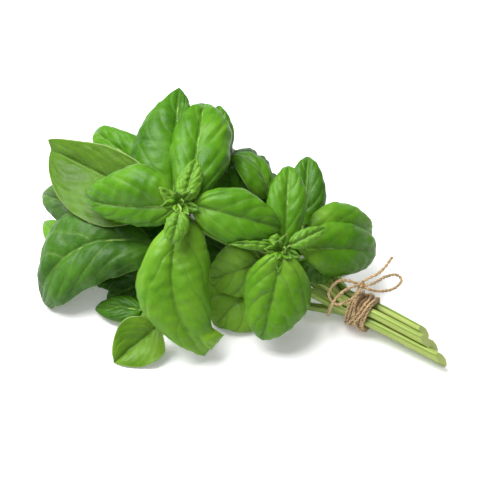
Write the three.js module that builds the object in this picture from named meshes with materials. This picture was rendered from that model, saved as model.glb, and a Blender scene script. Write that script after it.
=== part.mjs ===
// Basil bunch: six leafy sprigs tied with jute twine, lying on a table.
// Millimetres, +Z up. The stems run towards +X, and the bunch rests on Z = 0.
import * as THREE from "three";

// Driving dimensions
const stemRadius = 2.6; // of each stem from its cut end to the tie
const stemGap = 0.35; // clear space between neighbouring stems at the tie
const leafThickness = 0.6;
const petioleRadius = 1.0; // of the small stalk that carries each leaf
const layerGap = 1.9; // how far one leaf lies above the next
const twineDiameter = 1.7;
const knotRadius = 3;
const wrapLength = 14; // of the turns round the stems, along the bunch
const tieCentre = new THREE.Vector3(75, 14, 10.7);
const bundleTurn = THREE.MathUtils.degToRad(9); // the cut ends point this far from +X
const touchGap = 0.3; // kept between solids that touch on the real bunch

// Leaves lie on each other along this direction, towards the side that the bunch shows
const outward = new THREE.Vector3(0.41, -0.49, 0.77).normalize();
const across = new THREE.Vector3(0, 0, 1).cross(outward).normalize();
const upward = outward.clone().cross(across);

// Resolution of the solids
const bladeRows = 10; // along a leaf
const fineSteps = 60; // of the midrib's curve
const bladeColumns = [-1, -0.5, 0, 0.5, 1]; // across a leaf, from margin to margin
const petioleSteps = 2;
const youngWidth = 17; // a narrower leaf is a young, lighter one
const cellSize = 1.5; // of the height map that keeps the leaves apart
const smoothPasses = 14;
const usualOutline = [0.55, 0.75]; // how full a blade is towards its base and its tip
const usualFall = [45, 45];
const usualArch = 40;
const midribRise = THREE.MathUtils.degToRad(14); // of each half where it leaves the midrib

const colours = {
  leaf: 0x3f8a2b,
  youngLeaf: 0x74a83f,
  stem: 0x9fb65a,
  twine: 0xa98559,
};

// The stems' places in the tied bundle: one ring of six places round a middle one, one left empty
const spacing = 2 * stemRadius + stemGap;
const rowHeight = spacing * Math.sqrt(0.75);
const bundlePlaces = {
  tall: [-spacing / 2, rowHeight],
  near: [-spacing, 0],
  left: [0, 0],
  low: [-spacing / 2, -rowHeight],
  back: [spacing / 2, -rowHeight],
  right: [spacing, 0],
};

// Each stem: how far its cut end reaches past the tie, its tip radius, and its route
// from the tie into the leaves
const stems = {
  tall: { cut: 43, tipRadius: 1.5,
    route: [[53, 7, 22], [31, -3, 33], [6, -19, 46], [-10, -29, 60], [-15, -32, 72]] },
  near: { cut: 54, tipRadius: 1.6,
    route: [[55, 2, 17], [43, -5, 28], [37, -9, 40], [35, -9, 51]] },
  left: { cut: 46, tipRadius: 1.5,
    route: [[50, 9, 14], [12, 4, 26], [-24, -8, 38], [-43, -14, 47], [-53, -18, 54]] },
  low: { cut: 53, tipRadius: 1.5,
    route: [[50, 0, 7], [14, -17, 7], [-14, -34, 9], [-34, -45, 14], [-45, -52, 21]] },
  back: { cut: 45, tipRadius: 1.5,
    route: [[54, 18, 7], [32, 22, 14], [8, 20, 26], [-20, 13, 39], [-35, 8, 52], [-38, 4, 61]] },
  right: { cut: 38, tipRadius: 1.6,
    route: [[59, 17, 14], [53, 15, 22], [47, 10, 31], [44, 6, 39]] },
};

// The bow, from the knot outwards: each loop comes back to the knot, each tail ends loose
const knotCentre = new THREE.Vector3(70, 18, 24);
const twineRoutes = {
  twine_loop_right: [[74, 23, 24], [75, 33, 21], [77, 41, 17], [81, 41, 15], [82, 31, 18], [78, 22, 22]],
  twine_loop_left: [
    [66, 15, 27], [61, 11, 28], [59, 6, 25], [60, 3, 21], [66, 2, 20], [71, 4, 25], [73, 9, 26]],
  twine_tail_up: [[71, 22, 27], [74, 26, 29], [76, 31, 33], [77, 35, 38]],
  twine_tail_down: [[69, 9, 30], [68, 2, 31], [67, -3, 27], [62, 0, 9]],
};

// The leaves, in the order they are laid: outwards from the back, then those beneath the stems.
// at: place of the stalk on its stem, 0 at the tie and 1 at the tip. base and tip: the ends of the
// blade. Angles are in degrees: roll turns the blade about the line from base to tip, arch bends it
// along its length, and fall bends its left and right halves down, or up where it is less than 0.
// sweep bows the midrib sideways and corner pulls the margin near the tip aside and back, in
// millimetres. lean makes one half the wider. under: the leaf lies beneath the stems.
const leaves = [
  { name: "back_leaf_1", stem: "back", at: 0.78, base: [-35, 21, 50], tip: [-52, 44, 64], width: 21,
    fall: [50, 40], arch: 40 },
  { name: "back_leaf_2", stem: "back", at: 0.6, base: [-6, 12, 36], tip: [-32, 22, 42], width: 34,
    arch: 30, fall: [20, 20] },
  { name: "left_leaf_1", stem: "left", at: 0.72, base: [-52, -13, 52], tip: [-103, -7, 50], width: 27,
    arch: 50, fall: [40, 40] },
  { name: "back_leaf_3", stem: "back", at: 0.95, base: [-30, -20, 60], tip: [-69, 30, 76], width: 41,
    arch: 40, fall: [45, 40], lean: -0.25, outline: [0.55, 0.85] },
  { name: "back_leaf_4", stem: "back", at: 0.5, base: [1, 24, 40], tip: [-31, 28, 50], width: 26,
    arch: 110, roll: 50, fall: [30, 60] },
  { name: "right_leaf_1", stem: "right", at: 0.55, base: [23, 26, 31], tip: [1, 58, 48], width: 27,
    arch: 45, fall: [45, 45] },
  { name: "right_leaf_2", stem: "right", at: 0.95, base: [35, 14, 42], tip: [53, 55, 24], width: 36,
    arch: 45, fall: [40, 50], roll: 10, outline: [0.55, 0.65] },
  { name: "right_leaf_3", stem: "right", at: 0.3, base: [37, 21, 23], tip: [45, 13, 9], width: 19,
    arch: 30, fall: [30, 30] },
  { name: "left_leaf_2", stem: "left", at: 0.66, base: [-67, -37, 30], tip: [-110, -46, 24], width: 30,
    arch: 40, fall: [40, 40] },
  { name: "low_leaf_1", stem: "low", at: 0.95, base: [-52, -61, 18], tip: [-100, -55, 16], width: 20,
    arch: 40, fall: [30, 30] },
  { name: "low_leaf_2", stem: "low", at: 0.74, base: [-29, -43, 8], tip: [-41, -66, 3], width: 24,
    arch: 30, fall: [30, 30] },
  { name: "low_leaf_3", stem: "low", at: 0.8, base: [-32, -31, 14], tip: [-51, -65, 7], width: 30,
    arch: 50, fall: [40, 40], under: true },
  { name: "low_leaf_4", stem: "low", at: 0.5, base: [-4, -57, 6], tip: [-21, -73, 3], width: 16,
    arch: 20, fall: [20, 20] },
  { name: "low_leaf_5", stem: "low", at: 0.7, base: [-18, -62, 9], tip: [-42, -75, 4], width: 17,
    arch: 40, roll: 30, fall: [30, 30] },
  { name: "low_leaf_6", stem: "low", at: 0.58, base: [-1, -67, 14], tip: [-9, -94, 2], width: 30,
    arch: -30, fall: [-30, -30], outline: [0.5, 0.8] },
  { name: "low_leaf_7", stem: "low", at: 1.0, base: [-30, -38, 34], tip: [-69, -91, 5], width: 56,
    arch: 75, roll: 30, fall: [50, 50], sweep: 10, lean: 0.2, outline: [0.5, 0.45] },
  { name: "left_leaf_3", stem: "left", at: 0.94, base: [-36, -24, 50], tip: [-112, -31, 46], width: 44,
    arch: 20, fall: [-20, -20], lean: -0.25, outline: [0.55, 0.75], corner: [4, -5] },
  { name: "near_leaf_1", stem: "near", at: 0.3, base: [22, -8, 20], tip: [17, -43, 4], width: 40,
    arch: 50, fall: [30, 40] },
  { name: "tall_leaf_1", stem: "tall", at: 0.4, base: [21, -6, 28], tip: [1, -29, 18], width: 30,
    arch: 50, fall: [40, 50] },
  { name: "tall_leaf_2", stem: "tall", at: 0.93, base: [-15, -24, 66], tip: [-51, 31, 78], width: 36,
    arch: 45, fall: [45, 45], lean: 0.1, outline: [0.7, 0.55] },
  { name: "near_leaf_2", stem: "near", at: 0.85, base: [32, -1, 48], tip: [10, 29, 70], width: 25,
    arch: 45, fall: [50, 50], outline: [0.55, 0.55] },
  { name: "right_leaf_4", stem: "right", at: 1.0, base: [38, 8, 40], tip: [61, 48, 20], width: 33,
    arch: 50, fall: [45, 45], outline: [0.55, 0.62] },
  { name: "near_leaf_3", stem: "near", at: 0.9, base: [35, -7, 48], tip: [48, -39, 12], width: 41,
    arch: 50, fall: [50, 50], lean: -0.1, outline: [0.55, 0.65] },
  { name: "tall_leaf_3", stem: "tall", at: 0.9, base: [-12, -35, 63], tip: [29, -63, 6], width: 43,
    arch: 55, fall: [45, 45], sweep: 10, corner: [-11, 10] },
  { name: "tall_leaf_4", stem: "tall", at: 0.96, base: [-18, -32, 68], tip: [-68, -52, 56], width: 38,
    arch: 50, roll: -25, fall: [50, 50], lean: 0.2, outline: [0.45, 0.8] },
  { name: "tall_leaf_5", stem: "tall", at: 0.96, base: [-11, -26, 69], tip: [30, 1, 56], width: 33,
    arch: 50, fall: [45, 45], outline: [0.65, 0.75] },
  { name: "near_leaf_4", stem: "near", at: 0.96, base: [31, -9, 52], tip: [8, -20, 46], width: 7,
    arch: 20, fall: [60, 60], roll: 30 },
  { name: "near_leaf_5", stem: "near", at: 0.97, base: [38, -5, 54], tip: [47, 15, 58], width: 12,
    arch: 20, fall: [60, 60] },
  { name: "near_leaf_6", stem: "near", at: 1.0, base: [33, -6, 54], tip: [27, -9, 56], width: 8,
    arch: 20, fall: [40, 40] },
  { name: "tall_leaf_6", stem: "tall", at: 1.0, base: [-13, -30, 75], tip: [-22, -9, 84], width: 16,
    arch: 20, fall: [50, 50] },
  { name: "tall_leaf_7", stem: "tall", at: 1.0, base: [-9, -37, 75], tip: [-4, -51, 64], width: 15,
    arch: 50, fall: [50, 50] },
  { name: "left_leaf_4", stem: "left", at: 0.45, base: [-27, -11, 38], tip: [-44, -36, 30], width: 28,
    arch: 30, fall: [20, 20], under: true },
  { name: "left_leaf_5", stem: "left", at: 0.3, base: [15, -5, 22], tip: [-20, -12, 22], width: 26,
    arch: 30, fall: [20, 20], under: true },
  { name: "left_leaf_6", stem: "left", at: 0.2, base: [32, 13, 22], tip: [7, 16, 28], width: 24,
    arch: 30, fall: [20, 20], under: true },
  { name: "low_leaf_8", stem: "low", at: 0.12, base: [37, -12, 8], tip: [33, -30, 2], width: 22,
    fall: [30, 30], arch: 40, under: true },
  { name: "low_leaf_9", stem: "low", at: 0.56, base: [-16, -22, 6], tip: [-62, -4, 2], width: 32,
    fall: [20, 20], arch: 30, under: true },
  { name: "low_leaf_10", stem: "low", at: 0.35, base: [18, -6, 4], tip: [-16, 6, 2], width: 28,
    fall: [10, 10], arch: 20, under: true },
  { name: "left_leaf_7", stem: "left", at: 0.85, base: [-50, 0, 46], tip: [-86, 14, 30], width: 30,
    fall: [40, 40], arch: 45, under: true },
  { name: "back_leaf_5", stem: "back", at: 0.86, base: [-38, 14, 50], tip: [-64, 44, 42], width: 30,
    fall: [40, 40], arch: 45, under: true },
  { name: "back_leaf_6", stem: "back", at: 0.62, base: [-20, 24, 36], tip: [-32, 56, 28], width: 30,
    fall: [40, 40], arch: 45, under: true },
  { name: "back_leaf_7", stem: "back", at: 0.5, base: [-2, 27, 26], tip: [2, 53, 20], width: 26,
    fall: [40, 40], arch: 45, under: true },
  { name: "back_leaf_8", stem: "back", at: 0.6, base: [-10, 25, 24], tip: [-10, 60, 3], width: 34,
    fall: [40, 40], arch: 50, under: true },
  { name: "back_leaf_9", stem: "back", at: 0.7, base: [-28, 22, 33], tip: [-50, 62, 8], width: 36,
    fall: [40, 40], arch: 50, under: true },
  { name: "back_leaf_10", stem: "back", at: 0.8, base: [-44, 16, 43], tip: [-84, 42, 16], width: 36,
    fall: [40, 40], arch: 50, under: true },
  { name: "back_leaf_11", stem: "back", at: 0.28, base: [26, 36, 14], tip: [14, 62, 3], width: 28,
    fall: [40, 40], arch: 40, under: true },
  { name: "back_leaf_12", stem: "back", at: 0.14, base: [40, 30, 9], tip: [40, 56, 2], width: 24,
    fall: [40, 40], arch: 40, under: true },
  { name: "left_leaf_8", stem: "left", at: 0.75, base: [-42, -4, 36], tip: [-92, 10, 12], width: 36,
    fall: [40, 40], arch: 40, under: true },
];

const radians = THREE.MathUtils.degToRad;

// A closed solid through a row of rings that have equally many points, with flat ends
function loft(rings) {
  const count = rings[0].length;
  const last = (rings.length - 1) * count;
  const faces = [];
  for (let row = 0; row < rings.length - 1; row++) {
    for (let k = 0; k < count; k++) {
      const a = row * count + k;
      const b = row * count + ((k + 1) % count);
      faces.push(a, b, b + count, a, b + count, a + count);
    }
  }
  for (let k = 1; k < count - 1; k++) {
    faces.push(0, k + 1, k, last, last + k, last + k + 1);
  }
  const points = rings.flat();
  if (enclosedVolume(points, faces) < 0) faces.reverse();
  const geometry = new THREE.BufferGeometry().setFromPoints(points);
  geometry.setIndex(faces);
  geometry.computeVertexNormals();
  return geometry;
}

function enclosedVolume(points, faces) {
  let volume = 0;
  for (let k = 0; k < faces.length; k += 3) {
    const normal = points[faces[k + 1]].clone().cross(points[faces[k + 2]]);
    volume += points[faces[k]].dot(normal) / 6;
  }
  return volume;
}

// Stems: straight from the cut end to the tie, then along their own route to a thin tip
const bundleAxis = new THREE.Vector3(Math.cos(bundleTurn), Math.sin(bundleTurn), 0);
const bundleSide = new THREE.Vector3(-Math.sin(bundleTurn), Math.cos(bundleTurn), 0);
const stemSides = 8;
const stemSteps = 18;
const cutSettle = 2.8; // the cut ends lie this much lower than the tie

function bundlePoint(name, distance) {
  const [side, height] = bundlePlaces[name];
  const point = tieCentre.clone().addScaledVector(bundleAxis, distance);
  point.addScaledVector(bundleSide, side);
  point.z += height;
  return point;
}

function stemCurve(name) {
  const { cut, route } = stems[name];
  const end = bundlePoint(name, cut);
  end.z -= cutSettle;
  const points = [end, bundlePoint(name, wrapLength / 2 + 4), bundlePoint(name, -wrapLength / 2 - 3)];
  for (const [x, y, z] of route) points.push(new THREE.Vector3(x, y, z));
  return new THREE.CatmullRomCurve3(points, false, "catmullrom", 0.5);
}

// Share of the whole curve that lies before the tie, in the curve's own measure
function pastTie(name, share) {
  const spans = stems[name].route.length + 2;
  return (2 + share * (spans - 2)) / spans;
}

function stemRadiusAt(name, t) {
  const start = pastTie(name, 0);
  const share = Math.max(0, (t - start) / (1 - start));
  return stemRadius + (stems[name].tipRadius - stemRadius) * Math.pow(share, 0.8);
}

function stemSolid(name) {
  const curve = stemCurve(name);
  const frames = curve.computeFrenetFrames(stemSteps);
  const rings = [];
  for (let step = 0; step <= stemSteps; step++) {
    const t = curve.getUtoTmapping(step / stemSteps);
    const centre = curve.getPoint(t);
    const ring = [];
    for (let k = 0; k < stemSides; k++) {
      const angle = (2 * Math.PI * (k + 0.5)) / stemSides;
      const offset = frames.normals[step].clone().multiplyScalar(Math.cos(angle));
      offset.addScaledVector(frames.binormals[step], Math.sin(angle));
      ring.push(centre.clone().addScaledVector(offset, stemRadiusAt(name, t)));
    }
    rings.push(ring);
  }
  return loft(rings);
}

// Height maps of what has been laid so far, in cells seen along the outward direction
const highest = new Map();
const lowest = new Map();

function seen(point) {
  return [point.dot(across) / cellSize, point.dot(upward) / cellSize, point.dot(outward)];
}

function note(cell, top, bottom) {
  highest.set(cell, Math.max(highest.get(cell) ?? -Infinity, top));
  lowest.set(cell, Math.min(lowest.get(cell) ?? Infinity, bottom));
}

const cellKey = (i, j) => i * 4096 + j;

// Every cell that a triangle covers, with the triangle's height there
function coveredCells(corners) {
  const [a, b, c] = corners.map(seen);
  const area = (b[0] - a[0]) * (c[1] - a[1]) - (c[0] - a[0]) * (b[1] - a[1]);
  const cells = [];
  if (Math.abs(area) < 1e-6) return cells;
  const [left, right] = [Math.min(a[0], b[0], c[0]), Math.max(a[0], b[0], c[0])];
  const [low, high] = [Math.min(a[1], b[1], c[1]), Math.max(a[1], b[1], c[1])];
  for (let i = Math.floor(left); i <= Math.ceil(right); i++) {
    for (let j = Math.floor(low); j <= Math.ceil(high); j++) {
      const toB = ((i - a[0]) * (c[1] - a[1]) - (c[0] - a[0]) * (j - a[1])) / area;
      const toC = ((b[0] - a[0]) * (j - a[1]) - (i - a[0]) * (b[1] - a[1])) / area;
      const toA = 1 - toB - toC;
      if (Math.min(toA, toB, toC) < -0.12) continue;
      cells.push([cellKey(i, j), toA * a[2] + toB * b[2] + toC * c[2]]);
    }
  }
  return cells;
}

function gridTriangles(grid) {
  const triangles = [];
  for (let row = 0; row < grid.length - 1; row++) {
    for (let k = 0; k < grid[0].length - 1; k++) {
      const [near, far] = [[row, k], [row + 1, k + 1]];
      triangles.push([near, [row + 1, k], far], [near, far, [row, k + 1]]);
    }
  }
  return triangles;
}

// Spreads each point's lift over its neighbours, so that a leaf bends softly over what it lies on
function soften(least) {
  let lift = least;
  const rows = least.length;
  const columns = least[0].length;
  for (let pass = 0; pass < smoothPasses; pass++) {
    lift = lift.map((line, row) => line.map((value, k) => {
      const before = lift[Math.max(row - 1, 0)][k] + lift[Math.min(row + 1, rows - 1)][k];
      const beside = lift[row][Math.max(k - 1, 0)] + lift[row][Math.min(k + 1, columns - 1)];
      return Math.max(least[row][k], (before + beside + 2 * value) / 6);
    }));
  }
  return lift;
}

// Moves a leaf's points along the outward direction until it clears all that has been laid
function layLeaf(grid, under) {
  const least = grid.map((line) => line.map((point) => {
    return under ? 0 : Math.max(0, (leafThickness - point.z) / outward.z);
  }));
  for (const triangle of gridTriangles(grid)) {
    const corners = triangle.map(([row, k]) => grid[row][k]);
    for (const [cell, height] of coveredCells(corners)) {
      const edge = under ? lowest.get(cell) : highest.get(cell);
      if (edge === undefined) continue;
      const need = under ? height - (edge - layerGap) : edge + layerGap - height;
      for (const [row, k] of triangle) least[row][k] = Math.max(least[row][k], need);
    }
  }
  const lift = soften(least);
  grid.forEach((line, row) => line.forEach((point, k) => {
    point.addScaledVector(outward, under ? -lift[row][k] : lift[row][k]);
    point.z = Math.max(point.z, leafThickness + 0.1);
  }));
  for (const triangle of gridTriangles(grid)) {
    const corners = triangle.map(([row, k]) => grid[row][k]);
    for (const [cell, height] of coveredCells(corners)) note(cell, height, height - leafThickness);
  }
}

// Adds a round stem or stalk to the height maps, as balls of its radius along its curve
function layRound(curve, radiusAt, samples) {
  for (let step = 0; step <= samples; step++) {
    const t = step / samples;
    const radius = radiusAt(t);
    const [x, y, height] = seen(curve.getPoint(t));
    const reach = Math.ceil(radius / cellSize);
    for (let i = Math.round(x) - reach; i <= Math.round(x) + reach; i++) {
      for (let j = Math.round(y) - reach; j <= Math.round(y) + reach; j++) {
        const distance = Math.hypot(i - x, j - y) * cellSize;
        if (distance > radius) continue;
        const half = Math.sqrt(radius * radius - distance * distance);
        note(cellKey(i, j), height + half, height - half);
      }
    }
  }
}

// The midrib, as its place, direction and normal at each fine step, and the blade's side direction
function midrib(leaf) {
  const base = new THREE.Vector3(...leaf.base);
  const chord = new THREE.Vector3(...leaf.tip).sub(base);
  const along = chord.clone().normalize();
  const facing = outward.clone().addScaledVector(along, -outward.dot(along)).normalize();
  const right = along.clone().cross(facing);
  const roll = radians(leaf.roll ?? 0);
  const normal = facing.clone().multiplyScalar(Math.cos(roll)).addScaledVector(right, Math.sin(roll));
  const side = right.clone().multiplyScalar(Math.cos(roll)).addScaledVector(facing, -Math.sin(roll));
  const arch = radians(leaf.arch ?? usualArch);
  const turns = [];
  const flat = [[0, 0]];
  for (let step = 0; step <= fineSteps; step++) {
    const u = step / fineSteps;
    turns.push(arch * (0.5 - u));
    if (step === 0) continue;
    const middle = (turns[step] + turns[step - 1]) / 2;
    const [x, z] = flat[step - 1];
    flat.push([x + Math.cos(middle) / fineSteps, z + Math.sin(middle) / fineSteps]);
  }
  const [endX, endZ] = flat[fineSteps];
  const scale = chord.length() / Math.hypot(endX, endZ);
  const tilt = Math.atan2(endZ, endX);
  const sweep = leaf.sweep ?? 0;
  return flat.map(([x, z], step) => {
    const forth = scale * (x * Math.cos(tilt) + z * Math.sin(tilt));
    const out = scale * (z * Math.cos(tilt) - x * Math.sin(tilt));
    const bow = sweep * Math.sin((Math.PI * step) / fineSteps);
    const turn = turns[step] - tilt;
    const place = base.clone().addScaledVector(along, forth).addScaledVector(normal, out);
    place.addScaledVector(side, bow);
    const up = normal.clone().multiplyScalar(Math.cos(turn)).addScaledVector(along, -Math.sin(turn));
    return { place, up, side, along };
  });
}

// Half the blade's width at a share of its length, on its left (hand = -1) or right (hand = 1)
function halfWidth(leaf, share, hand) {
  const [low, high] = leaf.outline ?? usualOutline;
  const shape = (u) => Math.pow(u, low) * Math.pow(1 - u, high);
  const half = (leaf.width / 2) * (1 + hand * (leaf.lean ?? 0));
  return Math.max(petioleRadius * (1 - 0.5 * share), half * (shape(share) / shape(low / (low + high))));
}

// A point of the blade's upper face: each half is an arc that rises from the midrib and then falls
function bladePoint(leaf, ribs, step, column) {
  const rib = ribs[step];
  const hand = Math.sign(column);
  const share = Math.min(step / fineSteps, 0.985);
  const fall = radians((leaf.fall ?? usualFall)[hand < 0 ? 0 : 1]);
  const bend = midribRise + fall;
  const reach = Math.abs(column);
  const width = halfWidth(leaf, share, hand);
  const out = (Math.sin(midribRise) - Math.sin(midribRise - bend * reach)) / bend;
  const high = (Math.cos(midribRise - bend * reach) - Math.cos(midribRise)) / bend;
  const point = rib.place.clone().addScaledVector(rib.side, hand * width * out);
  point.addScaledVector(rib.up, width * high);
  const [aside, back] = leaf.corner ?? [0, 0];
  if (hand * aside > 0) {
    const pull = reach * Math.max(0, (share - 0.7) / 0.3) ** 2;
    point.addScaledVector(rib.side, aside * pull).addScaledVector(rib.along, -back * pull);
  }
  return point;
}

function bladeGrid(leaf) {
  const ribs = midrib(leaf);
  const grid = [];
  for (let row = 0; row <= bladeRows; row++) {
    const step = (row * fineSteps) / bladeRows;
    grid.push(bladeColumns.map((column) => bladePoint(leaf, ribs, step, column)));
  }
  return grid;
}

// A ring round the stalk, its points in the same order as a blade's ring
function stalkRing(centre, side, up) {
  const angles = [180, 135, 90, 45, 0, -45, -90, -135];
  return angles.map((angle) => {
    const point = centre.clone().addScaledVector(side, petioleRadius * Math.cos(radians(angle)));
    return point.addScaledVector(up, petioleRadius * Math.sin(radians(angle)));
  });
}

// The stalk's line, from just off its stem to the base of the blade
function stalkCurve(leaf, grid) {
  const middle = (bladeColumns.length - 1) / 2;
  const end = grid[0][middle];
  const ahead = grid[1][middle].clone().sub(end).normalize();
  const stem = stemCurve(leaf.stem);
  const t = pastTie(leaf.stem, leaf.at);
  const root = stem.getPoint(t);
  const axis = stem.getTangent(t);
  const away = end.clone().sub(root);
  away.addScaledVector(axis, -away.dot(axis)).normalize();
  if (leaf.at === 1) away.lerp(axis, 0.3).normalize();
  const start = root.addScaledVector(away, stemRadiusAt(leaf.stem, t) + touchGap + 0.1);
  const reach = start.distanceTo(end) / 3;
  return new THREE.CubicBezierCurve3(start, start.clone().addScaledVector(away, reach),
    end.clone().addScaledVector(ahead, -reach), end);
}

function stalkRings(leaf, grid) {
  const curve = stalkCurve(leaf, grid);
  const span = grid[1][bladeColumns.length - 1].clone().sub(grid[1][0]);
  const rings = [];
  for (let step = 0; step <= petioleSteps; step++) {
    const tangent = curve.getTangent(step / petioleSteps);
    const side = span.clone().addScaledVector(tangent, -span.dot(tangent)).normalize();
    rings.push(stalkRing(curve.getPoint(step / petioleSteps), side, side.clone().cross(tangent)));
  }
  layRound(curve, () => petioleRadius, 20);
  return rings;
}

// Across a blade's ring: its upper face from margin to margin, then its underside back again
function bladeRing(grid, row) {
  const before = grid[Math.max(row - 1, 0)];
  const after = grid[Math.min(row + 1, grid.length - 1)];
  const line = grid[row];
  const below = [];
  for (let k = line.length - 2; k > 0; k--) {
    const along = after[k].clone().sub(before[k]);
    const beside = line[k + 1].clone().sub(line[k - 1]);
    const normal = beside.cross(along).normalize();
    below.push(line[k].clone().addScaledVector(normal, -leafThickness));
  }
  return [...line, ...below];
}

function leafSolid(leaf) {
  const grid = bladeGrid(leaf);
  layLeaf(grid, leaf.under);
  const rings = stalkRings(leaf, grid);
  for (let row = 1; row <= bladeRows; row++) rings.push(bladeRing(grid, row));
  return loft(rings);
}

// Twine
function hullOutline(clearance, steps) {
  const places = Object.values(bundlePlaces);
  const outline = [];
  for (let step = 0; step < steps; step++) {
    const angle = (2 * Math.PI * step) / steps;
    const [x, y] = [Math.cos(angle), Math.sin(angle)];
    const outer = places.reduce((best, place) => (
      place[0] * x + place[1] * y > best[0] * x + best[1] * y + 1e-9 ? place : best));
    const reach = stemRadius + clearance;
    outline.push(new THREE.Vector2(outer[0] + reach * x, outer[1] + reach * y));
  }
  return outline;
}

function wrapSolid() {
  const shape = new THREE.Shape(hullOutline(touchGap + twineDiameter, 24));
  shape.holes.push(new THREE.Path(hullOutline(touchGap, 24)));
  const geometry = new THREE.ExtrudeGeometry(shape, { depth: wrapLength, bevelEnabled: false, steps: 1 });
  geometry.translate(0, 0, -wrapLength / 2);
  const up = new THREE.Vector3(0, 0, 1);
  geometry.applyMatrix4(new THREE.Matrix4().makeBasis(bundleSide, up, bundleAxis).setPosition(tieCentre));
  return geometry;
}

function towardsKnot(point) {
  const direction = point.clone().sub(knotCentre).normalize();
  return knotCentre.clone().addScaledVector(direction, knotRadius + touchGap);
}

function twineSolid(route, comesBack) {
  const points = route.map((place) => new THREE.Vector3(...place));
  points.unshift(towardsKnot(points[0]));
  if (comesBack) points.push(towardsKnot(points[points.length - 1]));
  const curve = new THREE.CatmullRomCurve3(points, false, "catmullrom", 0.5);
  const radius = twineDiameter / 2;
  const section = new THREE.Shape();
  for (let k = 0; k < 8; k++) {
    const angle = (2 * Math.PI * k) / 8;
    const [x, y] = [radius * Math.cos(angle), radius * Math.sin(angle)];
    if (k === 0) section.moveTo(x, y);
    else section.lineTo(x, y);
  }
  section.closePath();
  const steps = Math.ceil(curve.getLength() / (2.5 * twineDiameter));
  return new THREE.ExtrudeGeometry(section, { steps, extrudePath: curve, bevelEnabled: false });
}

// The pieces
const group = new THREE.Group();

function addPiece(name, geometry, colour, roughness) {
  const material = new THREE.MeshStandardMaterial({ color: colour, roughness, metalness: 0 });
  const mesh = new THREE.Mesh(geometry, material);
  mesh.name = name;
  group.add(mesh);
  return mesh;
}

for (const name of Object.keys(stems)) {
  layRound(stemCurve(name), (t) => stemRadiusAt(name, t), 160);
  addPiece(`${name}_stem`, stemSolid(name), colours.stem, 0.45);
}
for (const leaf of leaves) {
  const colour = leaf.width < youngWidth ? colours.youngLeaf : colours.leaf;
  addPiece(leaf.name, leafSolid(leaf), colour, 0.4);
}

// The origin lies under the middle of the bunch, measured without its twine
const box = new THREE.Box3().setFromObject(group, true);
const middle = box.getCenter(new THREE.Vector3());
group.position.set(-middle.x, -middle.y, -box.min.z);

addPiece("twine_wrap", wrapSolid(), colours.twine, 0.9);
const knot = addPiece("twine_knot", new THREE.SphereGeometry(knotRadius, 10, 6), colours.twine, 0.9);
knot.position.copy(knotCentre);
for (const [name, route] of Object.entries(twineRoutes)) {
  addPiece(name, twineSolid(route, name.includes("loop")), colours.twine, 0.9);
}

export default group;
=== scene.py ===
# Basil bunch: six leafy sprigs lying on a table, tied with jute twine in a small bow.
# Metres, +Z up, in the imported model's frame. The tables of stems and leaves are in millimetres.
import math
import bpy
import numpy as np
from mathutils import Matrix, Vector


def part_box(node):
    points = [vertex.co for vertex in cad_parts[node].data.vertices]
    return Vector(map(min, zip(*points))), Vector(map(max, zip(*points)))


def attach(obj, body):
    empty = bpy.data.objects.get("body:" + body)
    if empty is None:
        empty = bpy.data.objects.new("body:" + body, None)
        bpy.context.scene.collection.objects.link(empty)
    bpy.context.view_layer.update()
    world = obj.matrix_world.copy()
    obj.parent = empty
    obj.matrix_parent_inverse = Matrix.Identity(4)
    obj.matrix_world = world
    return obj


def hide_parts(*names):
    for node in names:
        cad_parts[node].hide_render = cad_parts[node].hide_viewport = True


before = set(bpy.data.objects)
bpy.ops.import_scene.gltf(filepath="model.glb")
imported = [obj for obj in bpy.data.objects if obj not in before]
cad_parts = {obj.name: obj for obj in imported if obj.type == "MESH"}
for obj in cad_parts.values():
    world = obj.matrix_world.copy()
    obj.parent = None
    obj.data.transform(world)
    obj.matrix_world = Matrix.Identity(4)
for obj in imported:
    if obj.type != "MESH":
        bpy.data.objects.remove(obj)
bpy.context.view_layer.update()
mm = 0.001

# The tables below are measured from a point under the bunch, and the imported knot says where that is
knotCentre = np.array([70.0, 18.0, 24.0])
knotLow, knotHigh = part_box("twine_knot")
benchPoint = np.array((knotLow + knotHigh) / 2) - knotCentre * mm


def toFrame(points):
    return np.asarray(points) * mm + benchPoint


# Camera, floor and light
studio = {
    "azimuth": 40,  # degrees round from looking along +Y
    "elevation": 50,
    "distance": 0.9,
    "aimHeight": 0.025,
    "lens": 122.7,
    "floorSize": 6.0,
    "floorColour": (0.93, 0.93, 0.93, 1),
    "floorGlow": 0.16,  # keeps the shadows on the white floor light
    "skyStrength": 0.28,
    "keyPower": 26,
    "keySize": 0.95,
    "keyPlace": (-0.48, -0.1, 1.0),  # from the bunch, up and behind it to the left
    "fillPower": 1.5,
    "fillSize": 0.9,
    "fillPlace": (0.25, -0.75, 0.95),
}


def directionFrom(azimuth, elevation):
    a, e = math.radians(azimuth), math.radians(elevation)
    return np.array([math.sin(a) * math.cos(e), -math.cos(a) * math.cos(e), math.sin(e)])


def aimAt(thing, place, target):
    thing.location = place
    gaze = Vector(target) - Vector(place)
    thing.rotation_euler = gaze.to_track_quat("-Z", "Y").to_euler()


def addObject(name, data):
    made = bpy.data.objects.new(name, data)
    bpy.context.scene.collection.objects.link(made)
    return made


def addCamera():
    target = benchPoint + np.array([0, 0, studio["aimHeight"]])
    back = directionFrom(studio["azimuth"], studio["elevation"])
    camera = addObject("camera", bpy.data.cameras.new("camera"))
    camera.data.lens = studio["lens"]
    camera.data.sensor_width = 36
    camera.data.clip_start = 0.01
    aimAt(camera, target + back * studio["distance"], target)
    bpy.context.scene.camera = camera


def addSoftbox(name, place, size, power):
    lamp = addObject(name, bpy.data.lights.new(name, "AREA"))
    lamp.data.shape = "DISK"
    lamp.data.size = size
    lamp.data.energy = power
    aimAt(lamp, np.array(place) + benchPoint, (0, 0, 0.03))


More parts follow.
